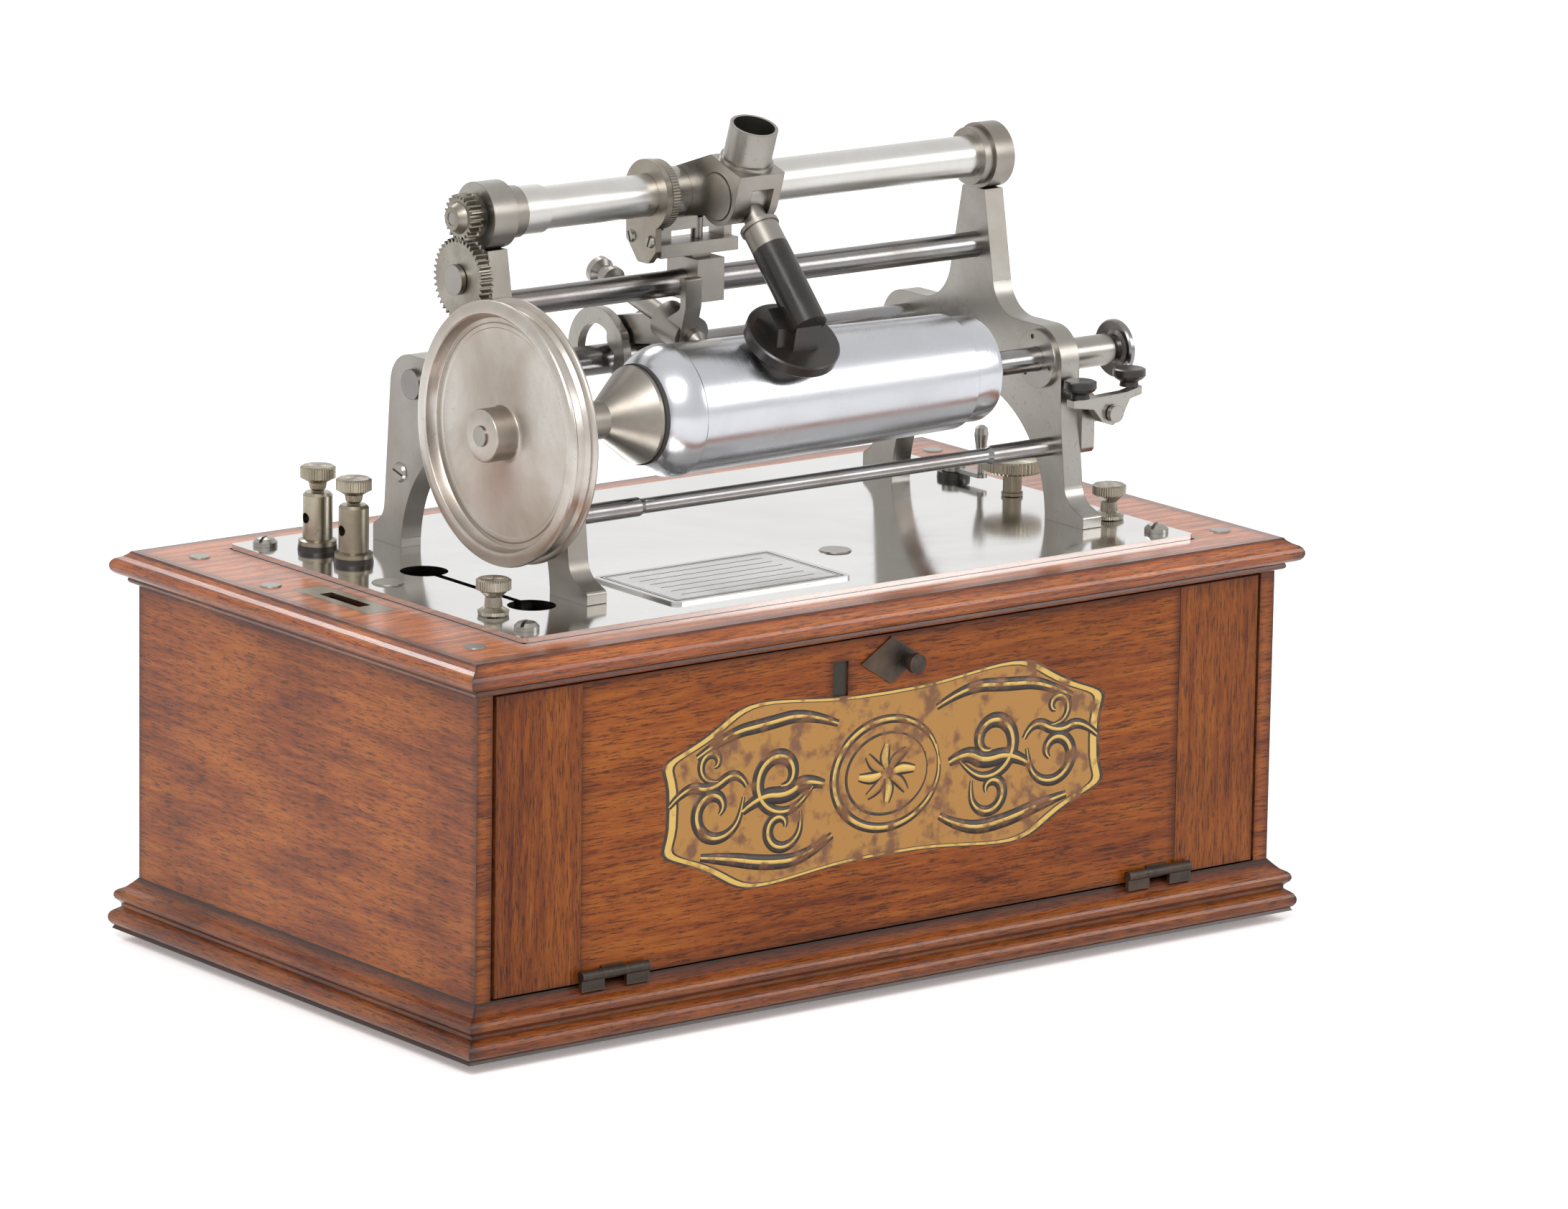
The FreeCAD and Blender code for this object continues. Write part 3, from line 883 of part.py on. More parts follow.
# Fittings on the bedplate
POST_RADIUS = 5.4
WIRE_HOLE = 1.9
post_bodies = []
post_washers = []
post_screws = []
for px, py in POSTS:
    post_washers.append(turned_z(px, py, [(BED_TOP, 7.2), (BED_TOP + 2.0, 7.0)]))
    body = turned_z(px, py, [(BED_TOP + 2.0, 6.9), (BED_TOP + 3.6, 6.9), (BED_TOP + 4.2, POST_RADIUS),
                             (BED_TOP + 20.0, POST_RADIUS), (BED_TOP + 21.0, POST_RADIUS - 0.8)])
    body = body.cut(rod_x(px - 20, px + 20, (py, BED_TOP + 12.0), WIRE_HOLE))
    post_bodies.append(body.cut(rod_z(BED_TOP + 14.2, BED_TOP + 40, px, py, 2.2 + RUNNING)))
    post_screws.append(turned_z(px, py, [(BED_TOP + 14.6, 2.2), (BED_TOP + 21.6, 2.2), (BED_TOP + 22.4, 2.9),
                                        (BED_TOP + 24.6, 3.3), (BED_TOP + 26.0, 5.6), (BED_TOP + 26.4, 6.4),
                                        (BED_TOP + 30.0, 6.4), (BED_TOP + 30.6, 5.6)]))
emit("post_bodies", *post_bodies)
emit("post_screw_back", post_screws[0])
emit("post_screw_front", post_screws[1])
for name, (sx, sy) in zip(("bed_thumb_screw_left", "bed_thumb_screw_right"), THUMB_SCREWS):
    emit(name, turned_z(sx, sy, [(BED_BOTTOM, STUD_HOLE), (BED_TOP + FIT_GAP, STUD_HOLE),
                                 (BED_TOP + FIT_GAP, 5.4), (BED_TOP + 1.6, 5.6), (BED_TOP + 3.0, 3.2),
                                 (BED_TOP + 6.5, 2.9), (BED_TOP + 8.6, 5.0), (BED_TOP + 9.2, 6.2),
                                 (BED_TOP + 12.4, 6.2), (BED_TOP + 12.9, 5.4)]))

sx, sy = SWITCH
post_washers.append(turned_z(sx, sy, [(BED_TOP, 6.3), (BED_TOP + 2.4, 6.1)]).cut(
    rod_z(BED_BOTTOM, BED_TOP + 9, sx, sy, STUD_HOLE + RUNNING)))
emit("insulating_washers", *post_washers)
lever_arm = fuse(rod_z(BED_BOTTOM - 3, BED_TOP + 3.0, sx, sy, STUD_HOLE),
                 rod_z(BED_TOP + 2.6, BED_TOP + 5.0, sx, sy, 4.4),
                 box(sx - 2.4, sx + 2.4, sy - 16.0, sy, BED_TOP + 2.7, BED_TOP + 4.2),
                 rod_z(BED_TOP + 2.7, BED_TOP + 4.2, sx, sy - 16.0, 2.4),
                 turned_z(sx, sy - 16.0, [(BED_TOP + 4.0, 1.2), (BED_TOP + 9.0, 1.1), (BED_TOP + 14.0, 2.0),
                                          (BED_TOP + 19.0, 2.7), (BED_TOP + 21.4, 2.3), (BED_TOP + 22.4, 1.0)]))
emit("switch_lever", lever_arm)
kx, ky = SPEED
emit("speed_knob", turned_z(kx, ky, [(BED_BOTTOM - 3, STUD_HOLE), (BED_TOP + FIT_GAP, STUD_HOLE),
                                     (BED_TOP + FIT_GAP, 4.0), (BED_TOP + 1.4, 4.0), (BED_TOP + 1.4, 3.5),
                                     (BED_TOP + 9.2, 3.5), (BED_TOP + 9.2, 10.4), (BED_TOP + 10.0, 11.2),
                                     (BED_TOP + 13.4, 11.2), (BED_TOP + 14.0, 10.4)]))

# Motor hung under the bedplate
my0, mz0 = MOTOR_AXIS
MOTOR_X1 = MOTOR_X0 + MOTOR_LENGTH
FIELD_HALF_Y = 50.0
FIELD_HALF_Z = 38.0
FIELD_WALL = 9.0
BORE = ARMATURE_RADIUS + ARMATURE_GAP


def field_frame():
    """Two-pole field: a yoke round the outside and a pole on each side of the armature."""
    outer = plate_x(MOTOR_X0, MOTOR_X1, [(my0 - FIELD_HALF_Y, mz0 - FIELD_HALF_Z, 12),
                                         (my0 + FIELD_HALF_Y, mz0 - FIELD_HALF_Z, 12),
                                         (my0 + FIELD_HALF_Y, mz0 + FIELD_HALF_Z, 12),
                                         (my0 - FIELD_HALF_Y, mz0 + FIELD_HALF_Z, 12)])
    hollow = box(MOTOR_X0 - 1, MOTOR_X1 + 1, my0 - FIELD_HALF_Y + FIELD_WALL, my0 + FIELD_HALF_Y - FIELD_WALL,
                 mz0 - FIELD_HALF_Z + FIELD_WALL, mz0 + FIELD_HALF_Z - FIELD_WALL)
    frame = outer.cut(hollow)
    for s in (-1, 1):
        y0, y1 = sorted((my0 + s * (BORE - 8), my0 + s * (FIELD_HALF_Y - FIELD_WALL + 1)))
        frame = fuse(frame, box(MOTOR_X0, MOTOR_X1, y0, y1, mz0 - 13, mz0 + 13))
        shoe = ring_x(MOTOR_X0, MOTOR_X1, MOTOR_AXIS, BORE + 5, BORE)
        s0, s1 = sorted((my0 + s * 14, my0 + s * 60))
        frame = fuse(frame, shoe.common(box(MOTOR_X0, MOTOR_X1, s0, s1, mz0 - 27, mz0 + 27)))
    return frame.cut(rod_x(MOTOR_X0 - 1, MOTOR_X1 + 1, MOTOR_AXIS, BORE))


emit("motor_field", field_frame())
coils = []
for s in (-1, 1):
    y0, y1 = sorted((my0 + s * (BORE + 5.4), my0 + s * (FIELD_HALF_Y - FIELD_WALL - 0.3)))
    coil = box(MOTOR_X0 - 7, MOTOR_X1 + 7, y0, y1, mz0 - 20, mz0 + 20)
    coils.append(coil.cut(box(MOTOR_X0 - 0.2, MOTOR_X1 + 0.2, y0 - 1, y1 + 1, mz0 - 13.2, mz0 + 13.2)))
emit("field_coils", *coils)
HANGER_R = 4.0
hangers = [rod_z(mz0 + FIELD_HALF_Z, BED_BOTTOM, x, my0 + s * 34.0, HANGER_R)
           for x in (MOTOR_X0 + 10, MOTOR_X1 - 10) for s in (-1, 1)]
END_GAP = 12.0
brackets = hangers
for x0, s in ((MOTOR_X0 - END_GAP, 1), (MOTOR_X1 + END_GAP - 5, -1)):
    bar = fuse(box(x0, x0 + 5, my0 - 6, my0 + 6, mz0 - FIELD_HALF_Z, mz0 + FIELD_HALF_Z),
               rod_x(x0, x0 + 5, MOTOR_AXIS, 9.0))
    a, b = sorted((x0 + 2.5, MOTOR_X0 if s > 0 else MOTOR_X1))
    for t in (-1, 1):
        bar = fuse(bar, box(a, b, my0 - 6, my0 + 6, *sorted((mz0 + t * FIELD_HALF_Z, mz0 + t * (FIELD_HALF_Z - 6)))))
    brackets.append(bar.cut(rod_x(-200, 200, MOTOR_AXIS, MOTOR_SHAFT_RADIUS + RUNNING)))
emit("motor_brackets", *brackets)
armature = rod_x(MOTOR_X0 + 4, MOTOR_X1 - 4, MOTOR_AXIS, ARMATURE_RADIUS)
slots = []
for k in range(12):
    slot = box(MOTOR_X0, MOTOR_X1, -1.6, 1.6, ARMATURE_RADIUS - 6, ARMATURE_RADIUS + 2)
    slot.rotate(vec(0, 0, 0), vec(1, 0, 0), 30 * k)
    slot.translate(vec(0, my0, mz0))
    slots.append(slot)
armature = armature.cut(fuse(*slots)).cut(rod_x(-200, 200, MOTOR_AXIS, MOTOR_SHAFT_RADIUS))
COMMUTATOR_X = MOTOR_X1 + END_GAP + 3
GOVERNOR_X = COMMUTATOR_X + 34
emit("armature", armature, ring_x(COMMUTATOR_X, COMMUTATOR_X + 16, MOTOR_AXIS, 11.0, MOTOR_SHAFT_RADIUS))
motor_pulley = turned_x(MOTOR_AXIS, [(BELT_X - 5, 13.0), (BELT_X - 4, MOTOR_PULLEY_RADIUS),
                                           (BELT_X - 2.2, MOTOR_PULLEY_RADIUS - 3), (BELT_X + 2.2,
                                           MOTOR_PULLEY_RADIUS - 3), (BELT_X + 4, MOTOR_PULLEY_RADIUS),
                                           (BELT_X + 5, 13.0)]).cut(
    rod_x(-200, 200, MOTOR_AXIS, MOTOR_SHAFT_RADIUS))
governor = [ring_x(GOVERNOR_X, GOVERNOR_X + 3, MOTOR_AXIS, 20.0, MOTOR_SHAFT_RADIUS)]
for k in range(3):
    a = math.radians(120 * k)
    c = (my0 + 14.5 * math.cos(a), mz0 + 14.5 * math.sin(a))
    governor.append(rod_x(GOVERNOR_X + 3, GOVERNOR_X + 12, c, 4.2))
emit("motor_shaft", rod_x(BELT_X - 8, GOVERNOR_X + 16, MOTOR_AXIS, MOTOR_SHAFT_RADIUS), motor_pulley, *governor)
brushes = []
for t in (-1, 1):
    z0, z1 = sorted((mz0 + t * 11.2, mz0 + t * 19.0))
    brush = box(COMMUTATOR_X + 4, COMMUTATOR_X + 12, my0 - 4, my0 + 4, z0, z1)
    z2, z3 = sorted((mz0 + t * 14.0, mz0 + t * 23.0))
    z4, z5 = sorted((mz0 + t * 17.0, mz0 + t * 23.0))
    holder = fuse(box(COMMUTATOR_X + 2.5, COMMUTATOR_X + 13.5, my0 - 5.5, my0 + 5.5, z2, z3),
                  box(MOTOR_X1 + END_GAP, COMMUTATOR_X + 3, my0 - 5.5, my0 + 5.5, z4, z5))
    brushes += [brush, holder.cut(brush)]
emit("brush_gear", *brushes)
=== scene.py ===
import math

import bmesh
import bpy
from mathutils import Matrix, Vector


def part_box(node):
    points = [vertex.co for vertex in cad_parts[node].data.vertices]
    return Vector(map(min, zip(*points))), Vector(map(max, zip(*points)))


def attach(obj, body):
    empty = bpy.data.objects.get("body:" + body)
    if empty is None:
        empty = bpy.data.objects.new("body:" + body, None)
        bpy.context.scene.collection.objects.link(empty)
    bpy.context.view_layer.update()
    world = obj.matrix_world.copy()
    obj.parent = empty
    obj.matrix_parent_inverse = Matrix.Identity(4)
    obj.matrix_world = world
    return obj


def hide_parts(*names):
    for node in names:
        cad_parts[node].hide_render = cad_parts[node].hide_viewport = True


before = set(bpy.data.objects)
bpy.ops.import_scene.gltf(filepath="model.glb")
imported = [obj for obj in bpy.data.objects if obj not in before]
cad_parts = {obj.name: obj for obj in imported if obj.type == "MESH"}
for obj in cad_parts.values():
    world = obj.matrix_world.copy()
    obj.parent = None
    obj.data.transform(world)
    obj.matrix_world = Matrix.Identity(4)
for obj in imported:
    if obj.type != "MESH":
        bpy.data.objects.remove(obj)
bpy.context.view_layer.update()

scene = bpy.context.scene
scene.view_settings.view_transform = "Standard"

# Oak case.
# Fine dark pores and long streaks run with each board, under an amber varnish chipped in places; the colour
# is darker within a few millimetres of every edge and crease. The grain effect is shared by every board,
# and each board's colour is scaled by a factor that is partly its tone and partly painted sheen and light.
BLACK, WHITE = (0, 0, 0), (1, 1, 1)
SURFACE = {"Color": "Color", "Roughness": "Float", "Height": "Float"}
CASE_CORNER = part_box("case_boards")[1]
ALONG, UPRIGHT, ACROSS = (0.9, 12.0, 12.0), (12.0, 12.0, 0.9), (12.0, 0.9, 12.0)


def feed(tree, made, values):
    """Links or sets a node's inputs."""
    for key, value in values.items():
        if isinstance(value, bpy.types.NodeSocket):
            tree.links.new(value, made.inputs[key])
        else:
            made.inputs[key].default_value = value


def node(tree, kind, values=(), **settings):
    """Adds a shader node, sets its properties, and links or sets its inputs."""
    made = tree.nodes.new(kind)
    for key, value in settings.items():
        setattr(made, key, value)
    feed(tree, made, dict(values))
    return made


def effect(name, takes, gives):
    """Shader node group, from the kinds of its named inputs and outputs."""
    group = bpy.data.node_groups.new(name, "ShaderNodeTree")
    for sockets, way in ((takes, "INPUT"), (gives, "OUTPUT")):
        for socket, kind in sockets.items():
            group.interface.new_socket(socket, in_out=way, socket_type="NodeSocket" + kind)
    return group


def finish(name):
    """Material, its node tree and its surface shader."""
    material = bpy.data.materials.new(name)
    material.use_nodes = True
    return material, material.node_tree, material.node_tree.nodes["Principled BSDF"]


def own_place(tree):
    """Place on the piece, in its own coordinates."""
    return node(tree, "ShaderNodeTexCoord").outputs["Object"]


def own_axes(tree):
    """The same place as its X, Y and Z."""
    return node(tree, "ShaderNodeSeparateXYZ", {"Vector": own_place(tree)}).outputs


def mapped(tree, vector, scale, rotation=(0, 0, 0)):
    """Place stretched and turned, for a pattern that runs one way."""
    return node(tree, "ShaderNodeMapping", {"Vector": vector, "Scale": scale,
                                            "Rotation": rotation}).outputs["Vector"]


def noise(tree, vector, scale, detail, roughness=0.5, distortion=0.0):
    """Cloudy pattern between 0 and 1."""
    return node(tree, "ShaderNodeTexNoise", {"Vector": vector, "Scale": scale, "Detail": detail,
                                             "Roughness": roughness, "Distortion": distortion}).outputs["Fac"]


def maths(tree, operation, *values):
    """Result of a Math node."""
    return node(tree, "ShaderNodeMath", dict(enumerate(values)), operation=operation).outputs["Value"]


def mix(tree, factor, a, b, kind="RGBA", blend="MIX"):
    """Mixture of two colours, or of two values of another kind."""
    return node(tree, "ShaderNodeMix", {"Factor": factor, "A": a, "B": b}, data_type=kind,
                blend_type=blend).outputs["Result"]


def spread(tree, value, start, end, low=0.0, high=1.0):
    """Value from start to end laid over the range from low to high."""
    return node(tree, "ShaderNodeMapRange", {"Value": value, "From Min": start, "From Max": end,
                                             "To Min": low, "To Max": high}).outputs["Result"]


def ramp(tree, factor, stops):
    """Colour ramp through (position, colour) stops."""
    made = node(tree, "ShaderNodeValToRGB", {"Fac": factor})
    band = made.color_ramp
    band.elements[0].position, band.elements[0].color = stops[0][0], (*stops[0][1], 1)
    band.elements[1].position, band.elements[1].color = stops[-1][0], (*stops[-1][1], 1)
    for place, colour in stops[1:-1]:
        band.elements.new(place).color = (*colour, 1)
    return made.outputs["Color"]


def edge_mask(tree, radius):
    """White along the outer edges of a solid, from the bevelled normal."""
    soft = node(tree, "ShaderNodeBevel", {"Radius": radius}, samples=4)
    flat = node(tree, "ShaderNodeNewGeometry")
    dot = node(tree, "ShaderNodeVectorMath", {0: soft.outputs["Normal"], 1: flat.outputs["Normal"]},
               operation="DOT_PRODUCT")
    return spread(tree, dot.outputs["Value"], 0.99, 0.80)


grain = effect("oak_grain", {"Vector": "Vector", "Shade": "Float"}, SURFACE)
entry = node(grain, "NodeGroupInput").outputs
warp = noise(grain, entry["Vector"], 5.0, 4.0)
streaks = noise(grain, entry["Vector"], 34.0, 8.0, 0.72, 0.15)
pores = noise(grain, entry["Vector"], 150.0, 3.0, 0.7)
rings = node(grain, "ShaderNodeTexWave", {"Vector": entry["Vector"], "Scale": 4.2, "Distortion": 6.0,
                                          "Detail": 3.0, "Detail Scale": 0.8}, bands_direction="Y")
figure = mix(grain, 0.12, streaks, rings.outputs["Fac"], "FLOAT")
tone = mix(grain, 0.12, figure, warp, "FLOAT")
wood = ramp(grain, tone, [(0.34, (0.105, 0.020, 0.003)), (0.44, (0.185, 0.040, 0.005)),
                          (0.52, (0.245, 0.060, 0.007)), (0.62, (0.31, 0.088, 0.011))])
pore_mask = ramp(grain, pores, [(0.40, (0.14, 0.12, 0.10)), (0.47, WHITE)])
pored = mix(grain, 0.75, wood, pore_mask, blend="MULTIPLY")
place = own_place(grain)
stains = noise(grain, place, 14.0, 6.0, 0.6)
stain_mask = ramp(grain, stains, [(0.38, (0.45, 0.45, 0.45)), (0.56, WHITE)])
stained = mix(grain, 0.30, pored, stain_mask, blend="MULTIPLY")
nicks = noise(grain, place, 170.0, 5.0)
broken = maths(grain, "MULTIPLY", edge_mask(grain, 0.0022), nicks)
chipped = ramp(grain, broken, [(0.14, BLACK), (0.34, WHITE)])
edged = mix(grain, chipped, stained, (0.035, 0.014, 0.006, 1))
# Darker within about 8 mm of every edge and crease of a board.
darker_near_edges = ramp(grain, edge_mask(grain, 0.008), [(0.04, WHITE), (0.75, (0.36, 0.30, 0.26))])
darkened = mix(grain, 1.0, edged, darker_near_edges, blend="MULTIPLY")
# Painted light: each board's colour is scaled by its own factor, partly for its tone and partly for the sheen
# and light its face catches.
painted_light = node(grain, "ShaderNodeCombineColor", dict.fromkeys(("Red", "Green", "Blue"), entry["Shade"]))
shaded = mix(grain, 1.0, darkened, painted_light.outputs["Color"], blend="MULTIPLY")
sheen = spread(grain, stains, 0.3, 0.7, 0.42, 0.24)
node(grain, "NodeGroupOutput", {"Color": shaded, "Roughness": sheen, "Height": pores})


def past_corner(tree):
    """White on the parts of a board that have turned the case's corner onto an end."""
    place = own_axes(tree)
    beyond_x = maths(tree, "SUBTRACT", maths(tree, "ABSOLUTE", place["X"]), CASE_CORNER.x)
    beyond_y = maths(tree, "SUBTRACT", maths(tree, "ABSOLUTE", place["Y"]), CASE_CORNER.y)
    return maths(tree, "GREATER_THAN", beyond_x, beyond_y)


def oak(name, stretch, painted_light, gloss, end_stretch=None):
    """Oak with its grain along the axis of small stretch, and another on the ends; gloss is the varnish."""
    material, tree, surface = finish(name)
    laid = mapped(tree, own_place(tree), stretch)
    if end_stretch:
        laid = mix(tree, past_corner(tree), laid, mapped(tree, own_place(tree), end_stretch), "VECTOR")
    # painted_light scales the colour: partly the board's tone, partly painted sheen and light on faces that
    # catch more.
    made = node(tree, "ShaderNodeGroup", {"Vector": laid, "Shade": painted_light}, node_tree=grain).outputs
    relief = node(tree, "ShaderNodeBump", {"Strength": 0.22, "Distance": 0.0004, "Height": made["Height"]})
    feed(tree, surface, {"Base Color": made["Color"], "Roughness": made["Roughness"],
                         "Normal": relief.outputs["Normal"], "Specular IOR Level": 0.2,
                         "Coat Weight": gloss, "Coat Roughness": 0.2})
    return material


def dress(material, *names):
    """Gives CAD nodes their finish."""
    for name in names:
        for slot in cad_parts[name].material_slots:
            slot.material = material


# Third number is painted light: the sides, nosing and top are brightened for the sheen their faces catch, the
# top most.
dress(oak("oak_case_grain", ALONG, 1.2, 0.2, ACROSS), "case_boards")
dress(oak("oak_base_grain", ALONG, 1.1, 0.4, ACROSS), "base_moulding")
dress(oak("oak_nosing_grain", ALONG, 1.7, 0.6, ACROSS), "top_mouldings")
dress(oak("oak_top_grain", (0.8, 11.0, 11.0), 2.1, 0.6), "top_board")

# Door.
# A clamped oak panel: a long board between two upright ends, which stand a hair proud of it, so that
# their joints show as thin dark lines.
CLAMP_WIDTH = 0.0364
CLAMP_INSET = 0.0002
CLAMP_PROUD = 0.0002


def block(shape, middle, size):
    """Adds a rectangular block to a bmesh and returns its corners."""
    corners = bmesh.ops.create_cube(shape, size=1.0)["verts"]
    bmesh.ops.scale(shape, vec=size, verts=corners)
    bmesh.ops.translate(shape, vec=middle, verts=corners)
    return corners


def piece_of(name, shape, *materials):
    """Makes a piece of a bmesh that is already at its place in the frame."""
    mesh = bpy.data.meshes.new(name)
    shape.to_mesh(mesh)
    for material in materials:
        mesh.materials.append(material)
    piece = bpy.data.objects.new(name, mesh)
    scene.collection.objects.link(piece)
    return piece


# Third number as above, painted light with the door's face as the measure; its clamps are a little darker.
dress(oak("oak_long_grain", ALONG, 1.0, 0.04), "door_boards")
oak_upright = oak("oak_end_grain", UPRIGHT, 0.85, 0.04)
door_low, door_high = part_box("door_boards")
clamp_middle = door_high.x - CLAMP_INSET - CLAMP_WIDTH / 2
clamp_height = door_high.z - door_low.z - 2 * CLAMP_INSET
for name, side in (("door_clamp_left", -1), ("door_clamp_right", 1)):
    clamp = bmesh.new()
    block(clamp, (side * clamp_middle, door_low.y - CLAMP_PROUD / 2, (door_low.z + door_high.z) / 2),
          (CLAMP_WIDTH, CLAMP_PROUD, clamp_height))
    board = piece_of(name, clamp, oak_upright)
    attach(board, "door")

# Painted ornament on the door.
# A lobed ochre field in thin paint with a gilt edge; dark scrolls and leaves, each with a gilt line
# along it, are mirrored about an oval with a flower.
MM = 0.001
DOOR_FACE = door_low.y
ORNAMENT_Z = 0.080
FIELD_HALF_WIDTH, FIELD_HALF_HEIGHT = 100, 33
FIELD_POINTS = 96
FIELD_COATS = ((1.0, "dark", 0.00002), (0.985, "gilt", 0.00004), (0.955, "dark", 0.00006),
               (0.945, "ochre", 0.00008))
UNDER, OVER = 0.00009, 0.00013
PAINT_THICKNESS = 0.000012
DARK_SHARE, GILT_SHARE = 1.4, 0.36
PETALS = 8

paints = {}
for name, colour, metallic in (("dark", (0.020, 0.010, 0.005), 0.0), ("ochre", (0.36, 0.17, 0.030), 0.0),
                               ("gilt", (0.60, 0.39, 0.10), 0.3)):
    paints[name], tree, surface = finish("door_paint_" + name)
    rub = noise(tree, own_place(tree), 150.0, 6.0)
    feed(tree, surface, {"Base Color": ramp(tree, rub, [(0.36, (0.16, 0.06, 0.018)), (0.50, colour)]),
                         "Roughness": spread(tree, rub, 0.0, 1.0, 0.30, 0.55), "Metallic": metallic})


def stroke(points, width, proud):
    """Painted stroke through (x, z) points in millimetres, full in the middle and fine at its ends."""
    line = bpy.data.curves.new("stroke", "CURVE")
    line.dimensions = "3D"
    line.bevel_depth = 1.0
    line.bevel_resolution = 1
    line.use_fill_caps = True
    spline = line.splines.new("NURBS")
    spline.points.add(len(points) - 1)
    for i, (x, z) in enumerate(points):
        swell = math.sin(math.pi * (i + 0.5) / len(points)) ** 0.6
        spline.points[i].co = (x, 0, z, 1)
        spline.points[i].radius = width * swell
    spline.order_u = 3
    spline.use_endpoint_u = True
    line.resolution_u = 5
    holder = bpy.data.objects.new("stroke", line)
    scene.collection.objects.link(holder)
    mesh = bpy.data.meshes.new_from_object(holder.evaluated_get(bpy.context.evaluated_depsgraph_get()))
    bpy.data.objects.remove(holder)
    flattened = Matrix.Diagonal((MM, PAINT_THICKNESS, MM, 1))
    mesh.transform(Matrix.Translation((0, DOOR_FACE - proud, ORNAMENT_Z)) @ flattened)
    return mesh


def scroll(cx, cz, reach, turns, start):
    """Spiral that closes in on its centre, as (x, z) points; start is its first angle in degrees."""
    points = []
    count = int(9 * turns) + 3
    for i in range(count):
        t = i / (count - 1)
        angle = math.radians(start) + 2 * math.pi * turns * t
        radius = reach * (1 - 0.80 * t)
        points.append((cx + radius * math.cos(angle), cz + radius * math.sin(angle)))
    return points


def ring(wide, tall):
    """Oval that laps over its own start, as (x, z) points."""
    return [(wide * math.cos(2 * math.pi * k / 16), tall * math.sin(2 * math.pi * k / 16)) for k in range(18)]


def lobed(reach):
    """Closed outline of the field with shallow lobes, as (x, z) points."""
    outline = []
    for k in range(FIELD_POINTS):
        a = 2 * math.pi * k / FIELD_POINTS
        out = math.copysign(abs(math.cos(a)) ** 0.7, math.cos(a)) * (1 - 0.03 * math.cos(8 * a))
        up = math.copysign(abs(math.sin(a)) ** 0.6, math.sin(a)) * (1 + 0.09 * math.cos(6 * a))
        outline.append((reach * FIELD_HALF_WIDTH * out, reach * FIELD_HALF_HEIGHT * up))
    return outline


sprays = [
    (scroll(47, 5, 15, 1.2, 200), 2.4), (scroll(47, -13, 10, 1.1, 150)[::-1], 2.0),
    (scroll(76, -3, 13, 1.15, 165), 2.2), (scroll(77, 14, 7, 1.0, 250), 1.6),
    (((24, -19), (36, -26), (54, -25), (70, -21), (82, -19)), 2.4),
    (((22, 21), (36, 27), (54, 25), (70, 24), (84, 17)), 2.2),
    (((62, 4), (66, 11), (78, 4), (88, 8), (96, 1)), 1.9),
    (((28, 0), (36, 3), (44, -2), (56, 0), (64, -5)), 2.8)]
ornament = []
for mirror in (-1, 1):
    for points, width in sprays:
        drawn = [(mirror * x, z) for x, z in points]
        ornament.append((drawn, DARK_SHARE * width, "dark", UNDER))
        ornament.append((drawn, GILT_SHARE * width, "gilt", OVER))
ornament += [(ring(24, 20), 2.4, "dark", UNDER), (ring(24, 20), 0.9, "gilt", OVER),
             (ring(18.5, 15), 0.7, "dark", UNDER)]
for k in range(PETALS):
    a = 2 * math.pi * k / PETALS
    petal = [(r * math.cos(a + bend), 0.85 * r * math.sin(a + bend))
             for r, bend in ((2.5, 0), (5, 0.22), (9, 0.1), (12.5, 0))]
    ornament += [(petal, 2.8, "dark", UNDER), (petal, 1.7, "ochre" if k % 2 else "gilt", OVER)]
joined = {name: bmesh.new() for name in paints}
for reach, paint, proud in FIELD_COATS:
    sheet = bmesh.ops.create_circle(joined[paint], cap_ends=True, cap_tris=True, segments=FIELD_POINTS,
                                    radius=1.0)["verts"]
    rim = [v for v in sheet if v.co.length > 0.5]
    for v, (x, z) in zip(rim, lobed(reach)):
        v.co = (MM * x, DOOR_FACE - proud, ORNAMENT_Z + MM * z)
    for v in sheet:
        if v not in rim:
            v.co = (0, DOOR_FACE - proud, ORNAMENT_Z)
for points, width, paint, proud in ornament:
    mesh = stroke(points, width, proud)
    joined[paint].from_mesh(mesh)
    bpy.data.meshes.remove(mesh)
for name, gathered in joined.items():
    bmesh.ops.recalc_face_normals(gathered, faces=gathered.faces)
    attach(piece_of("door_ornament_" + name, gathered, paints[name]), "door")

# Metals.
# One effect serves the nickel, brass, steel and iron: a clean colour, brown tarnish in clouds and along
# edges, fine scratches, and a roughness that follows the tarnish.
TUBE_LOW, TUBE_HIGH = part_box("feed_screw")
TUBE_AXIS = ((TUBE_LOW.y + TUBE_HIGH.y) / 2, (TUBE_LOW.z + TUBE_HIGH.z) / 2)
EYE_PLATE_BACK = -0.02565
plate = effect("worn_metal", {"Clean": "Color", "Tarnish": "Color", "Amount": "Float", "Smooth": "Float",
                              "Rough": "Float", "Clouds": "Float"}, SURFACE)
entry = node(plate, "NodeGroupInput").outputs
place = own_place(plate)
clouds = noise(plate, place, entry["Clouds"], 8.0, 0.62, 0.4)
specks = ramp(plate, noise(plate, place, 620.0, 4.0), [(0.60, BLACK), (0.70, WHITE)])
scratches = noise(plate, mapped(plate, place, (1.0, 14.0, 9.0), (0.3, 0.2, 0.5)), 160.0, 5.0, 0.8)
piled = maths(plate, "MAXIMUM", spread(plate, clouds, 0.42, 0.72), edge_mask(plate, 0.0008))
flecked = maths(plate, "MAXIMUM", piled, maths(plate, "MULTIPLY", specks, 0.5))
dose = maths(plate, "MULTIPLY", flecked, entry["Amount"])
tinted = mix(plate, dose, entry["Clean"], entry["Tarnish"])
dulled = spread(plate, clouds, 0.35, 0.70, entry["Smooth"], entry["Rough"])
node(plate, "NodeGroupOutput", {"Color": tinted, "Roughness": dulled, "Height": scratches})


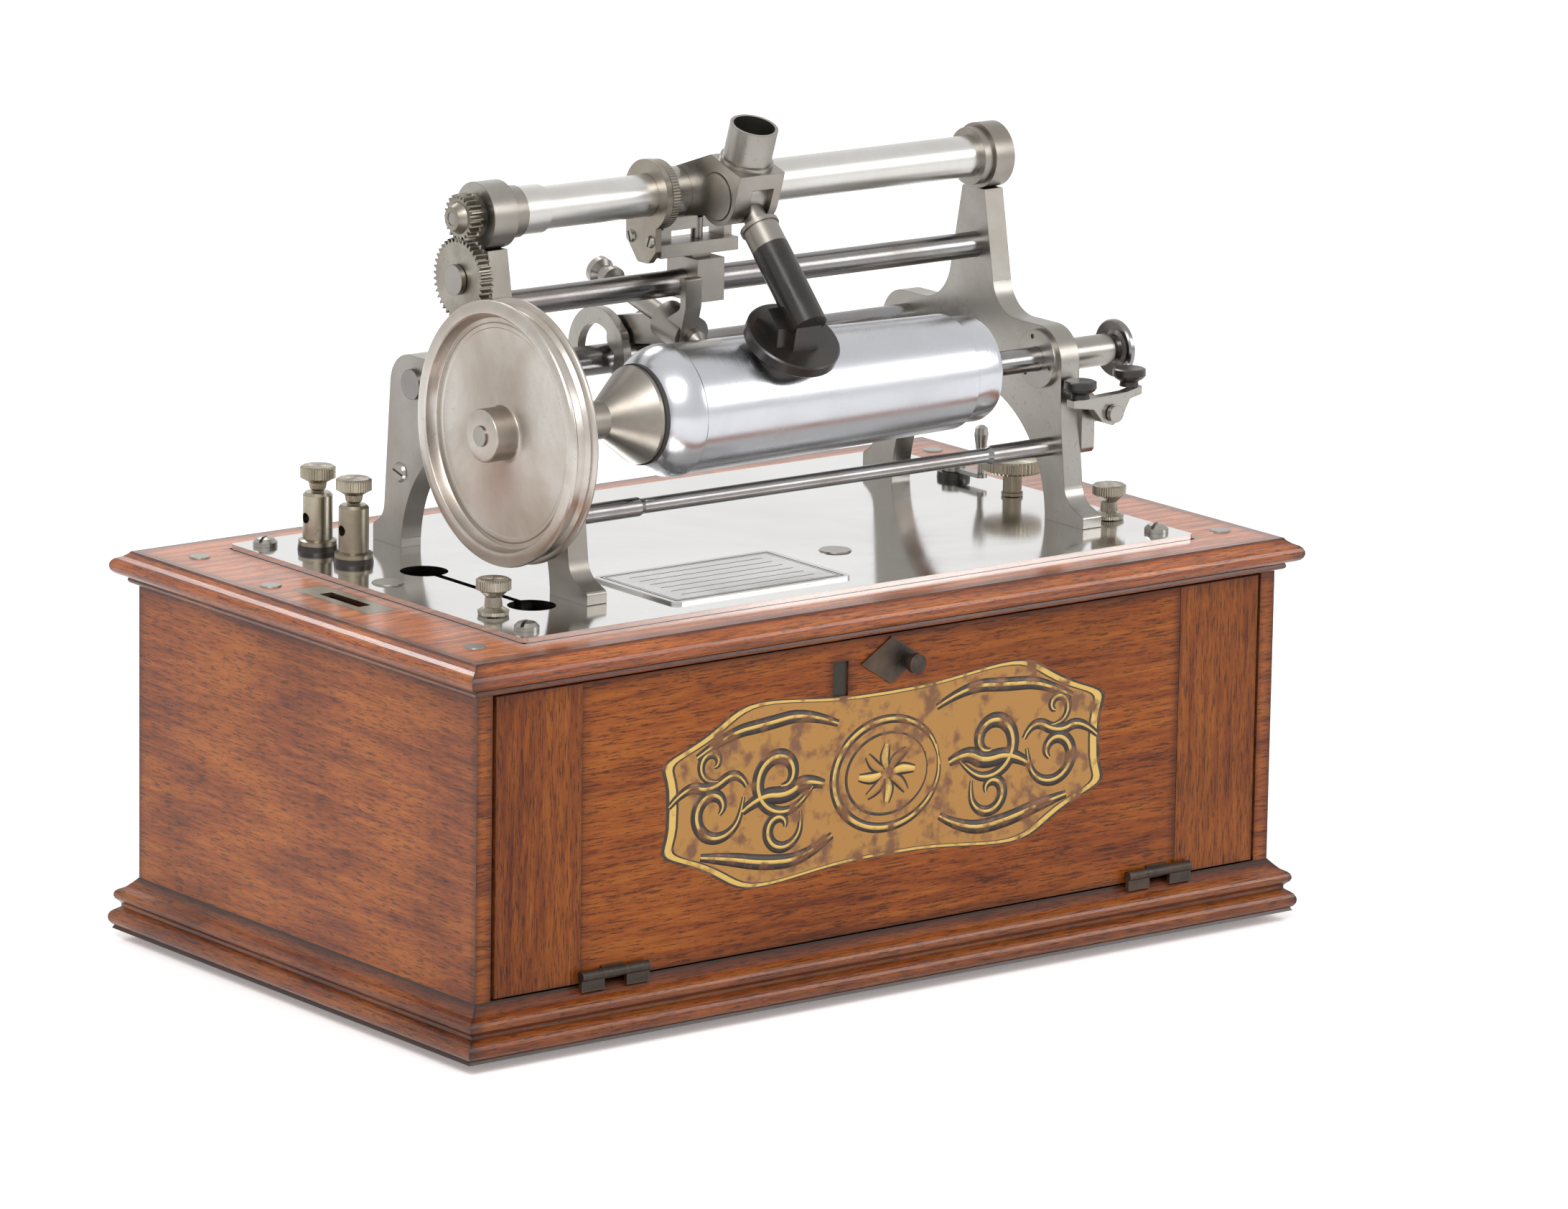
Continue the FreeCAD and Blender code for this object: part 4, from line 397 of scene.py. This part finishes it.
def worn(name, clean, tarnish, amount, smooth, rough, clouds, metallic=1.0, ridges=None, scratch=0.10, cut=0.9):
    """Worn finish; ridges cuts knurling, a thread or lathe lines, as a function that returns a height."""
    material, tree, surface = finish(name)
    made = node(tree, "ShaderNodeGroup", {
        "Clean": (*clean, 1), "Tarnish": (*tarnish, 1), "Amount": amount, "Smooth": smooth, "Rough": rough,
        "Clouds": clouds}, node_tree=plate).outputs
    relief = node(tree, "ShaderNodeBump", {"Strength": scratch, "Distance": 0.0002, "Height": made["Height"]})
    if ridges:
        relief = node(tree, "ShaderNodeBump", {"Strength": cut, "Distance": 0.00013, "Height": ridges(tree),
                                               "Normal": relief.outputs["Normal"]})
    feed(tree, surface, {"Base Color": made["Color"], "Roughness": made["Roughness"],
                         "Normal": relief.outputs["Normal"], "Metallic": metallic})
    return material


def knurl(first, second, centre, count):
    """Ridges round an axis: the two coordinates across it, its centre in them, and how many ridges."""
    def build(tree):
        place = own_axes(tree)
        u = maths(tree, "SUBTRACT", place[first], centre[0])
        v = maths(tree, "SUBTRACT", place[second], centre[1])
        turn = maths(tree, "ARCTAN2", v, u)
        return maths(tree, "SINE", maths(tree, "MULTIPLY", turn, float(count)))
    return build


def clamp_knurl(tree):
    """Knurling on the clamp ring alone, which lies behind the eye plate."""
    ridge = knurl("Y", "Z", TUBE_AXIS, 70)(tree)
    behind = maths(tree, "GREATER_THAN", own_axes(tree)["X"], EYE_PLATE_BACK)
    return maths(tree, "MULTIPLY", ridge, behind)


nickel = worn("cast_nickel", (0.335, 0.32, 0.295), (0.13, 0.095, 0.06), 0.6, 0.24, 0.44, 9.0)
bed_nickel = worn("bed_nickel", (0.74, 0.735, 0.725), (0.34, 0.29, 0.23), 0.30, 0.05, 0.17, 7.0, scratch=0.02)
tube_nickel = worn("tube_nickel", (0.62, 0.61, 0.59), (0.32, 0.265, 0.20), 0.40, 0.24, 0.40, 12.0)
rod_steel = worn("rod_steel", (0.25, 0.245, 0.245), (0.12, 0.08, 0.05), 0.6, 0.16, 0.34, 14.0)
brass = worn("tarnished_brass", (0.33, 0.30, 0.235), (0.15, 0.11, 0.07), 0.7, 0.22, 0.42, 24.0)
gear_brass = worn("gear_metal", (0.33, 0.31, 0.27), (0.11, 0.085, 0.055), 0.85, 0.26, 0.44, 30.0)
iron = worn("motor_iron", (0.10, 0.10, 0.10), (0.06, 0.04, 0.03), 0.6, 0.4, 0.6, 20.0, 0.8)
blackened = worn("black_ironwork", (0.035, 0.028, 0.024), (0.13, 0.08, 0.05), 0.8, 0.36, 0.6, 60.0, 0.6)
eye_nickel = worn("eye_nickel", (0.32, 0.30, 0.265), (0.2, 0.135, 0.075), 0.7, 0.26, 0.44, 24.0,
                  ridges=clamp_knurl)
plaque_nickel = worn("plaque_nickel", (0.62, 0.61, 0.595), (0.28, 0.235, 0.18), 0.45, 0.16, 0.3, 16.0)
dress(bed_nickel, "bedplate")
dress(eye_nickel, "eye_plate")
dress(nickel, "left_standard", "right_standard", "tail_bearing", "key_bracket", "key_lever", "idler_studs",
      "carriage_block", "carriage_yoke", "shaver_saddle", "shaver_arm", "knife_tube", "switch_lever",
      "chuck_shaft", "plate_screws", "recorder_barrel", "nipple")
dress(tube_nickel, "carrying_tube")
dress(rod_steel, "guide_rods", "depth_screw", "motor_shaft", "tail_spindle")
dress(gear_brass, "drive_gear", "idler_gear", "lower_idler_gear", "feed_gear")
dress(brass, "spindle_bush", "feed_nut", "motor_brackets", "brush_gear", "lock_plate", "post_bodies")
dress(iron, "armature", "motor_field")
dress(blackened, "door_ironwork", "case_hinge_leaves", "feet", "door_knob")
dress(plaque_nickel, "plaque")

# Binding posts' screws, thumb screws and the speed knob.
# Turned heads with straight knurling round the rim; the bedplate's two thumb screws are a little whiter.
KNURL_RIDGES = 44
WARM_HEAD, WHITE_HEAD = (0.36, 0.325, 0.25), (0.38, 0.35, 0.29)
for name, colour in (("post_screw_back", WARM_HEAD), ("post_screw_front", WARM_HEAD),
                     ("bed_thumb_screw_left", WHITE_HEAD), ("bed_thumb_screw_right", WHITE_HEAD),
                     ("speed_knob", WARM_HEAD)):
    low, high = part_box(name)
    middle = ((low.x + high.x) / 2, (low.y + high.y) / 2)
    dress(worn(name + "_finish", colour, (0.18, 0.13, 0.08), 0.6, 0.18, 0.38, 40.0,
               ridges=knurl("X", "Y", middle, KNURL_RIDGES)), name)

# Hard rubber, rubber, mica and winding tape.
# The ebonite has browned where hands and light reach it.
ebonite = worn("ebonite", (0.010, 0.009, 0.008), (0.060, 0.030, 0.016), 0.38, 0.20, 0.42, 34.0, 0.0)
ring_rubber = worn("ring_rubber", (0.02, 0.018, 0.017), (0.06, 0.05, 0.045), 0.5, 0.5, 0.75, 60.0, 0.0)
coil_tape = worn("coil_tape", (0.14, 0.05, 0.02), (0.05, 0.02, 0.01), 0.6, 0.35, 0.55, 90.0, 0.0)
mica = worn("mica", (0.55, 0.52, 0.44), (0.36, 0.30, 0.2), 0.4, 0.15, 0.3, 60.0, 0.0)
dress(ebonite, "recorder_spout", "recorder_head", "insulating_washers", "key_buttons")
dress(ring_rubber, "chuck_ring")
dress(coil_tape, "field_coils")
dress(mica, "diaphragm")

# Feed screw.
# A steel rod with a fine thread cut along it, inside the carrying tube.
THREAD_PITCH = 0.00064


def thread(tree):
    """One ridge to each turn of the thread."""
    return maths(tree, "SINE", maths(tree, "MULTIPLY", own_axes(tree)["X"], 2 * math.pi / THREAD_PITCH))


feed_steel = worn("feed_thread", (0.30, 0.285, 0.265), (0.14, 0.1, 0.06), 0.5, 0.2, 0.36, 30.0, ridges=thread)
dress(feed_steel, "feed_screw")

# Mandrel.
# A spun and turned aluminium sleeve, polished bright, with the fine lines of the lathe round it.
# Its profile is drawn in millimetres, from the bell beside the chuck to the step at its free end.
PULLEY_LOW, PULLEY_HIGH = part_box("pulley")
SPINDLE_AXIS = ((PULLEY_LOW.y + PULLEY_HIGH.y) / 2, (PULLEY_LOW.z + PULLEY_HIGH.z) / 2)
EASED_CORNER = 0.00018
EASED_ANGLE = 28
BELL_X, BELL_LENGTH = -59.4, 12.4
BELL_RADIUS, BELL_FLARE = 17.5, 6.3
BELL_STEPS = 12


def lathe_lines(tree):
    """Fine lines round the X axis."""
    return noise(tree, mapped(tree, own_place(tree), (1.0, 0.01, 0.01)), 1400.0, 2.0)


def turned_piece(name, axis_yz, profile, material, body, segments=128):
    """Turned piece about an X axis from (x, radius) points in millimetres, its corners eased."""
    shape = bmesh.new()
    cy, cz = axis_yz
    outline = [shape.verts.new((x * MM, cy, cz + r * MM)) for x, r in profile]
    for a, b in zip(outline, outline[1:]):
        shape.edges.new((a, b))
    bmesh.ops.spin(shape, geom=shape.verts[:] + shape.edges[:], cent=(0, cy, cz), axis=(1, 0, 0),
                   angle=2 * math.pi, steps=segments, use_merge=True)
    bmesh.ops.remove_doubles(shape, verts=shape.verts, dist=1e-7)
    bmesh.ops.recalc_face_normals(shape, faces=shape.faces)
    piece = piece_of(name, shape, material)
    piece.data.shade_smooth()
    eased = piece.modifiers.new("eased", "BEVEL")
    eased.width = EASED_CORNER
    eased.segments = 2
    eased.limit_method = "ANGLE"
    eased.angle_limit = math.radians(EASED_ANGLE)
    eased.harden_normals = True
    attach(piece, body)
    return piece


aluminium = worn("mandrel_aluminium", (0.54, 0.55, 0.58), (0.36, 0.36, 0.365), 0.35, 0.17, 0.34, 16.0,
                 ridges=lathe_lines, scratch=0.02, cut=0.25)
bell = [(BELL_X, 7.0), (BELL_X, 17.4)]
for i in range(1, BELL_STEPS):
    t = i / BELL_STEPS
    bell.append((BELL_X + BELL_LENGTH * t, BELL_RADIUS + BELL_FLARE * math.sin(t * math.pi / 2) ** 0.8))
mandrel = turned_piece("mandrel_skin", SPINDLE_AXIS, bell + [
    (-47.0, 23.75), (-46.5, 23.3), (-20, 22.83), (10, 22.3), (40, 21.7), (77.2, 20.95), (77.9, 19.7),
    (78.4, 19.25), (88.0, 19.2), (89.6, 18.6), (90.6, 17.4), (90.95, 16.0), (90.95, 4.6)],
    aluminium, "mandrel_spin")
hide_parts("mandrel")

# Belt pulley.
# Cast iron with a dull, faintly brown nickel skin, turned with plain rings and a deep rim.
pulley_finish = worn("pulley_nickel", (0.52, 0.49, 0.455), (0.27, 0.20, 0.135), 0.7, 0.2, 0.4, 15.0)
pulley = turned_piece("pulley_wheel", SPINDLE_AXIS, [
    (-127.9, 3.7), (-127.9, 8.6), (-127.6, 9.2), (-127.0, 9.45), (-119.6, 9.45), (-118.6, 9.8), (-117.98, 11.0),
    (-117.98, 36.6), (-118.25, 37.0), (-118.25, 38.4), (-117.98, 38.8), (-117.98, 40.4), (-118.6, 40.9),
    (-121.9, 41.7), (-122.4, 42.4), (-122.4, 45.2), (-121.8, 46.5), (-121.2, 46.9), (-120.6, 46.9),
    (-120.0, 46.0), (-119.6, 44.9), (-118.2, 43.8), (-115.2, 43.8), (-113.7, 44.9), (-113.0, 46.4),
    (-112.4, 46.9), (-111.7, 46.7), (-111.05, 46.0), (-111.05, 41.0), (-114.3, 40.6), (-114.3, 12.4),
    (-111.05, 12.0), (-111.05, 3.7)], pulley_finish, "mandrel_spin")
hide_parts("pulley")

# Screws of the castings and of the eye plate.
# Low round heads, in millimetres, with a dark driver slot laid flat on the head as a black bar: painted shade
# for the recess. Way is the side of the casting that a head stands on, and turn is the angle its slot was left
# at.
HEAD_HEIGHT = 1.0
SLOT_LIFT, SLOT_THICKNESS, SLOT_WIDTH = 0.02, 0.06, 0.75
# Near black, for painted shade in screw slots, the keyhole and the plug's gap, and for the plaque's black wax.
shade_and_wax_black = worn("painted_shade_and_wax", (0.02, 0.016, 0.012), (0.05, 0.035, 0.02), 0.5, 0.5, 0.7, 50.0, 0.3)
for name, (x, y, z), way, radius, turn, body in (
        ("screw_standard_left", (-101.3, 51.1, 172.6), -1, 3.7, 15, "frame"),
        ("screw_standard_stay", (130.1, -41.5, 172.5), 1, 3.2, 40, "frame"),
        ("screw_eye_back", (-28.5, 12.4, 257.0), -1, 2.3, 70, "carriage"),
        ("screw_eye_front", (-28.5, 1.0, 256.6), -1, 2.3, 110, "carriage"),
        ("screw_standard_right", (130.1, 51.1, 172.6), 1, 3.7, 15, "frame")):
    head = bmesh.new()
    bmesh.ops.create_cone(head, cap_ends=True, segments=32, radius1=radius, radius2=radius * 0.8,
                          depth=HEAD_HEIGHT)
    bmesh.ops.rotate(head, verts=head.verts, matrix=Matrix.Rotation(math.radians(90 * way), 3, "Y"))
    bmesh.ops.translate(head, verts=head.verts, vec=(x + way * HEAD_HEIGHT / 2, y, z))
    driver = block(head, (0, 0, 0), (SLOT_THICKNESS, 1.66 * radius, SLOT_WIDTH))
    bmesh.ops.rotate(head, verts=driver, matrix=Matrix.Rotation(math.radians(turn), 3, "X"))
    bmesh.ops.translate(head, verts=driver, vec=(x + way * (HEAD_HEIGHT + SLOT_LIFT), y, z))
    for face in head.faces:
        face.material_index = 1 if all(v in driver for v in face.verts) else 0
    bmesh.ops.scale(head, verts=head.verts, vec=(MM, MM, MM))
    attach(piece_of(name, head, nickel, shade_and_wax_black), body)

# Painted shade in the keyhole and at the plug's joint.
# A black block behind the keyhole is painted shade in the hole; a fine black ring is painted shadow in the gap
# where the recorder's barrel ends in its block.
KEYHOLE_X, KEYHOLE_Z = -0.0212, 0.1166
KEYHOLE_SHADE_BEHIND = 0.0022
BARREL_AXIS = (-0.0194, 0.2747)
JOINT_FRONT, JOINT_BACK = -14.86, -14.8
JOINT_INNER, JOINT_OUTER = 8.3, 8.75
# Painted shade: a black block set behind the keyhole.
keyhole_shade = bmesh.new()
block(keyhole_shade, (KEYHOLE_X, DOOR_FACE + KEYHOLE_SHADE_BEHIND, KEYHOLE_Z), (0.0062, 0.003, 0.0128))
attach(piece_of("keyhole_painted_shade", keyhole_shade, shade_and_wax_black), "door")
# Painted shadow: a black ring in the gap round the barrel's end.
turned_piece("plug_gap_shadow", BARREL_AXIS, [
    (JOINT_BACK, JOINT_INNER), (JOINT_FRONT, JOINT_INNER), (JOINT_FRONT, JOINT_OUTER),
    (JOINT_BACK, JOINT_OUTER), (JOINT_BACK, JOINT_INNER)], shade_and_wax_black, "carriage", 64)

# Plaque lines.
# A plain engraved double border filled with black wax, and ruled lines across the field.
LINE_THICKNESS, LINE_LIFT = 0.00006, 0.00001
BORDERS = ((0.0022, 0.0005), (0.0036, 0.0002))
RULE_COUNT = 6
RULE_WIDTH, RULE_STEP = 0.0003, 0.0061
RULE_MARGIN, FIRST_RULE = 0.010, 0.0095
plaque_low, plaque_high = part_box("plaque")
rules = []
for inset, width in BORDERS:
    x0, x1 = plaque_low.x + inset, plaque_high.x - inset
    y0, y1 = plaque_low.y + inset, plaque_high.y - inset
    rules += [(x0, x1, y0, y0 + width), (x0, x1, y1 - width, y1)]
    rules += [(x0, x0 + width, y0, y1), (x1 - width, x1, y0, y1)]
for row in range(RULE_COUNT):
    y = plaque_low.y + FIRST_RULE + row * RULE_STEP
    rules.append((plaque_low.x + RULE_MARGIN, plaque_high.x - RULE_MARGIN, y, y + RULE_WIDTH))
lines = bmesh.new()
for x0, x1, y0, y1 in rules:
    block(lines, ((x0 + x1) / 2, (y0 + y1) / 2, plaque_high.z + LINE_LIFT),
          (x1 - x0, y1 - y0, LINE_THICKNESS))
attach(piece_of("plaque_lines", lines, shade_and_wax_black), "frame")

# Floor, light and camera.
# The floor and the backdrop are white to the eye and in the metal, and the floor keeps the soft shadow.
# A window to the left, a weak fill and a back light shine on the middle of the machine.
FLOOR_HALF = 12.0
FLOOR_GLOW = 0.25
LIT_POINT = Vector((0, 0, 0.15))
CAMERA_PLACE = (-1.9353, -2.5445, 0.8563)


def seen_white(tree):
    """One for the rays of the eye and of a mirror, nought for the light that falls on the machine."""
    rays = node(tree, "ShaderNodeLightPath").outputs
    return maths(tree, "MAXIMUM", rays["Is Camera Ray"], rays["Is Glossy Ray"])


paper, tree, surface = finish("white_paper")
feed(tree, surface, {"Base Color": (0.93, 0.93, 0.93, 1), "Roughness": 0.9, "Specular IOR Level": 0.0,
                     "Emission Color": (1, 1, 1, 1),
                     "Emission Strength": maths(tree, "MULTIPLY", seen_white(tree), FLOOR_GLOW)})
ground = bmesh.new()
bmesh.ops.create_grid(ground, x_segments=1, y_segments=1, size=FLOOR_HALF)
floor = piece_of("floor", ground, paper)

world = bpy.data.worlds.new("studio")
scene.world = world
world.use_nodes = True
tree = world.node_tree
upwards = node(tree, "ShaderNodeSeparateXYZ", {"Vector": node(tree, "ShaderNodeTexCoord").outputs["Generated"]})
sky = ramp(tree, spread(tree, upwards.outputs["Z"], -1.0, 1.0), [
    (0.47, (0.27, 0.27, 0.27)), (0.52, (0.10, 0.10, 0.10)), (0.58, (0.58, 0.58, 0.585)),
    (1.0, (0.74, 0.74, 0.74))])
shown = mix(tree, seen_white(tree), sky, (1, 1, 1, 1))
feed(tree, tree.nodes["Background"], {"Color": shown, "Strength": 1.0})

for name, stands_at, size, power in (
        ("window", (-1.6, -1.5, 2.1), 1.3, 52.0), ("fill", (1.9, -1.9, 1.2), 1.0, 16.0),
        ("back", (0.6, 1.8, 1.9), 0.9, 18.0)):
    lamp = bpy.data.lights.new(name, "AREA")
    lamp.energy = power
    lamp.size = size
    holder = bpy.data.objects.new(name, lamp)
    holder.location = stands_at
    holder.rotation_mode = "QUATERNION"
    holder.rotation_quaternion = (LIT_POINT - Vector(stands_at)).to_track_quat("-Z", "Y")
    scene.collection.objects.link(holder)

azimuth, elevation, roll = math.radians(-37.727), math.radians(12.945), math.radians(0.923)
forward = Vector((-math.sin(azimuth) * math.cos(elevation), math.cos(azimuth) * math.cos(elevation),
                  -math.sin(elevation)))
across = Vector((math.cos(azimuth), math.sin(azimuth), 0))
upward = across.cross(forward)
right = across * math.cos(roll) + upward * math.sin(roll)
back = -forward
turn = Matrix((right, back.cross(right), back)).transposed()
lens = bpy.data.cameras.new("photo_camera")
lens.lens, lens.sensor_width = 209.14, 36.0
lens.clip_start, lens.clip_end = 0.1, 50.0
camera = bpy.data.objects.new("photo_camera", lens)
scene.collection.objects.link(camera)
camera.matrix_world = Matrix.Translation(CAMERA_PLACE) @ turn.to_4x4()
scene.camera = camera
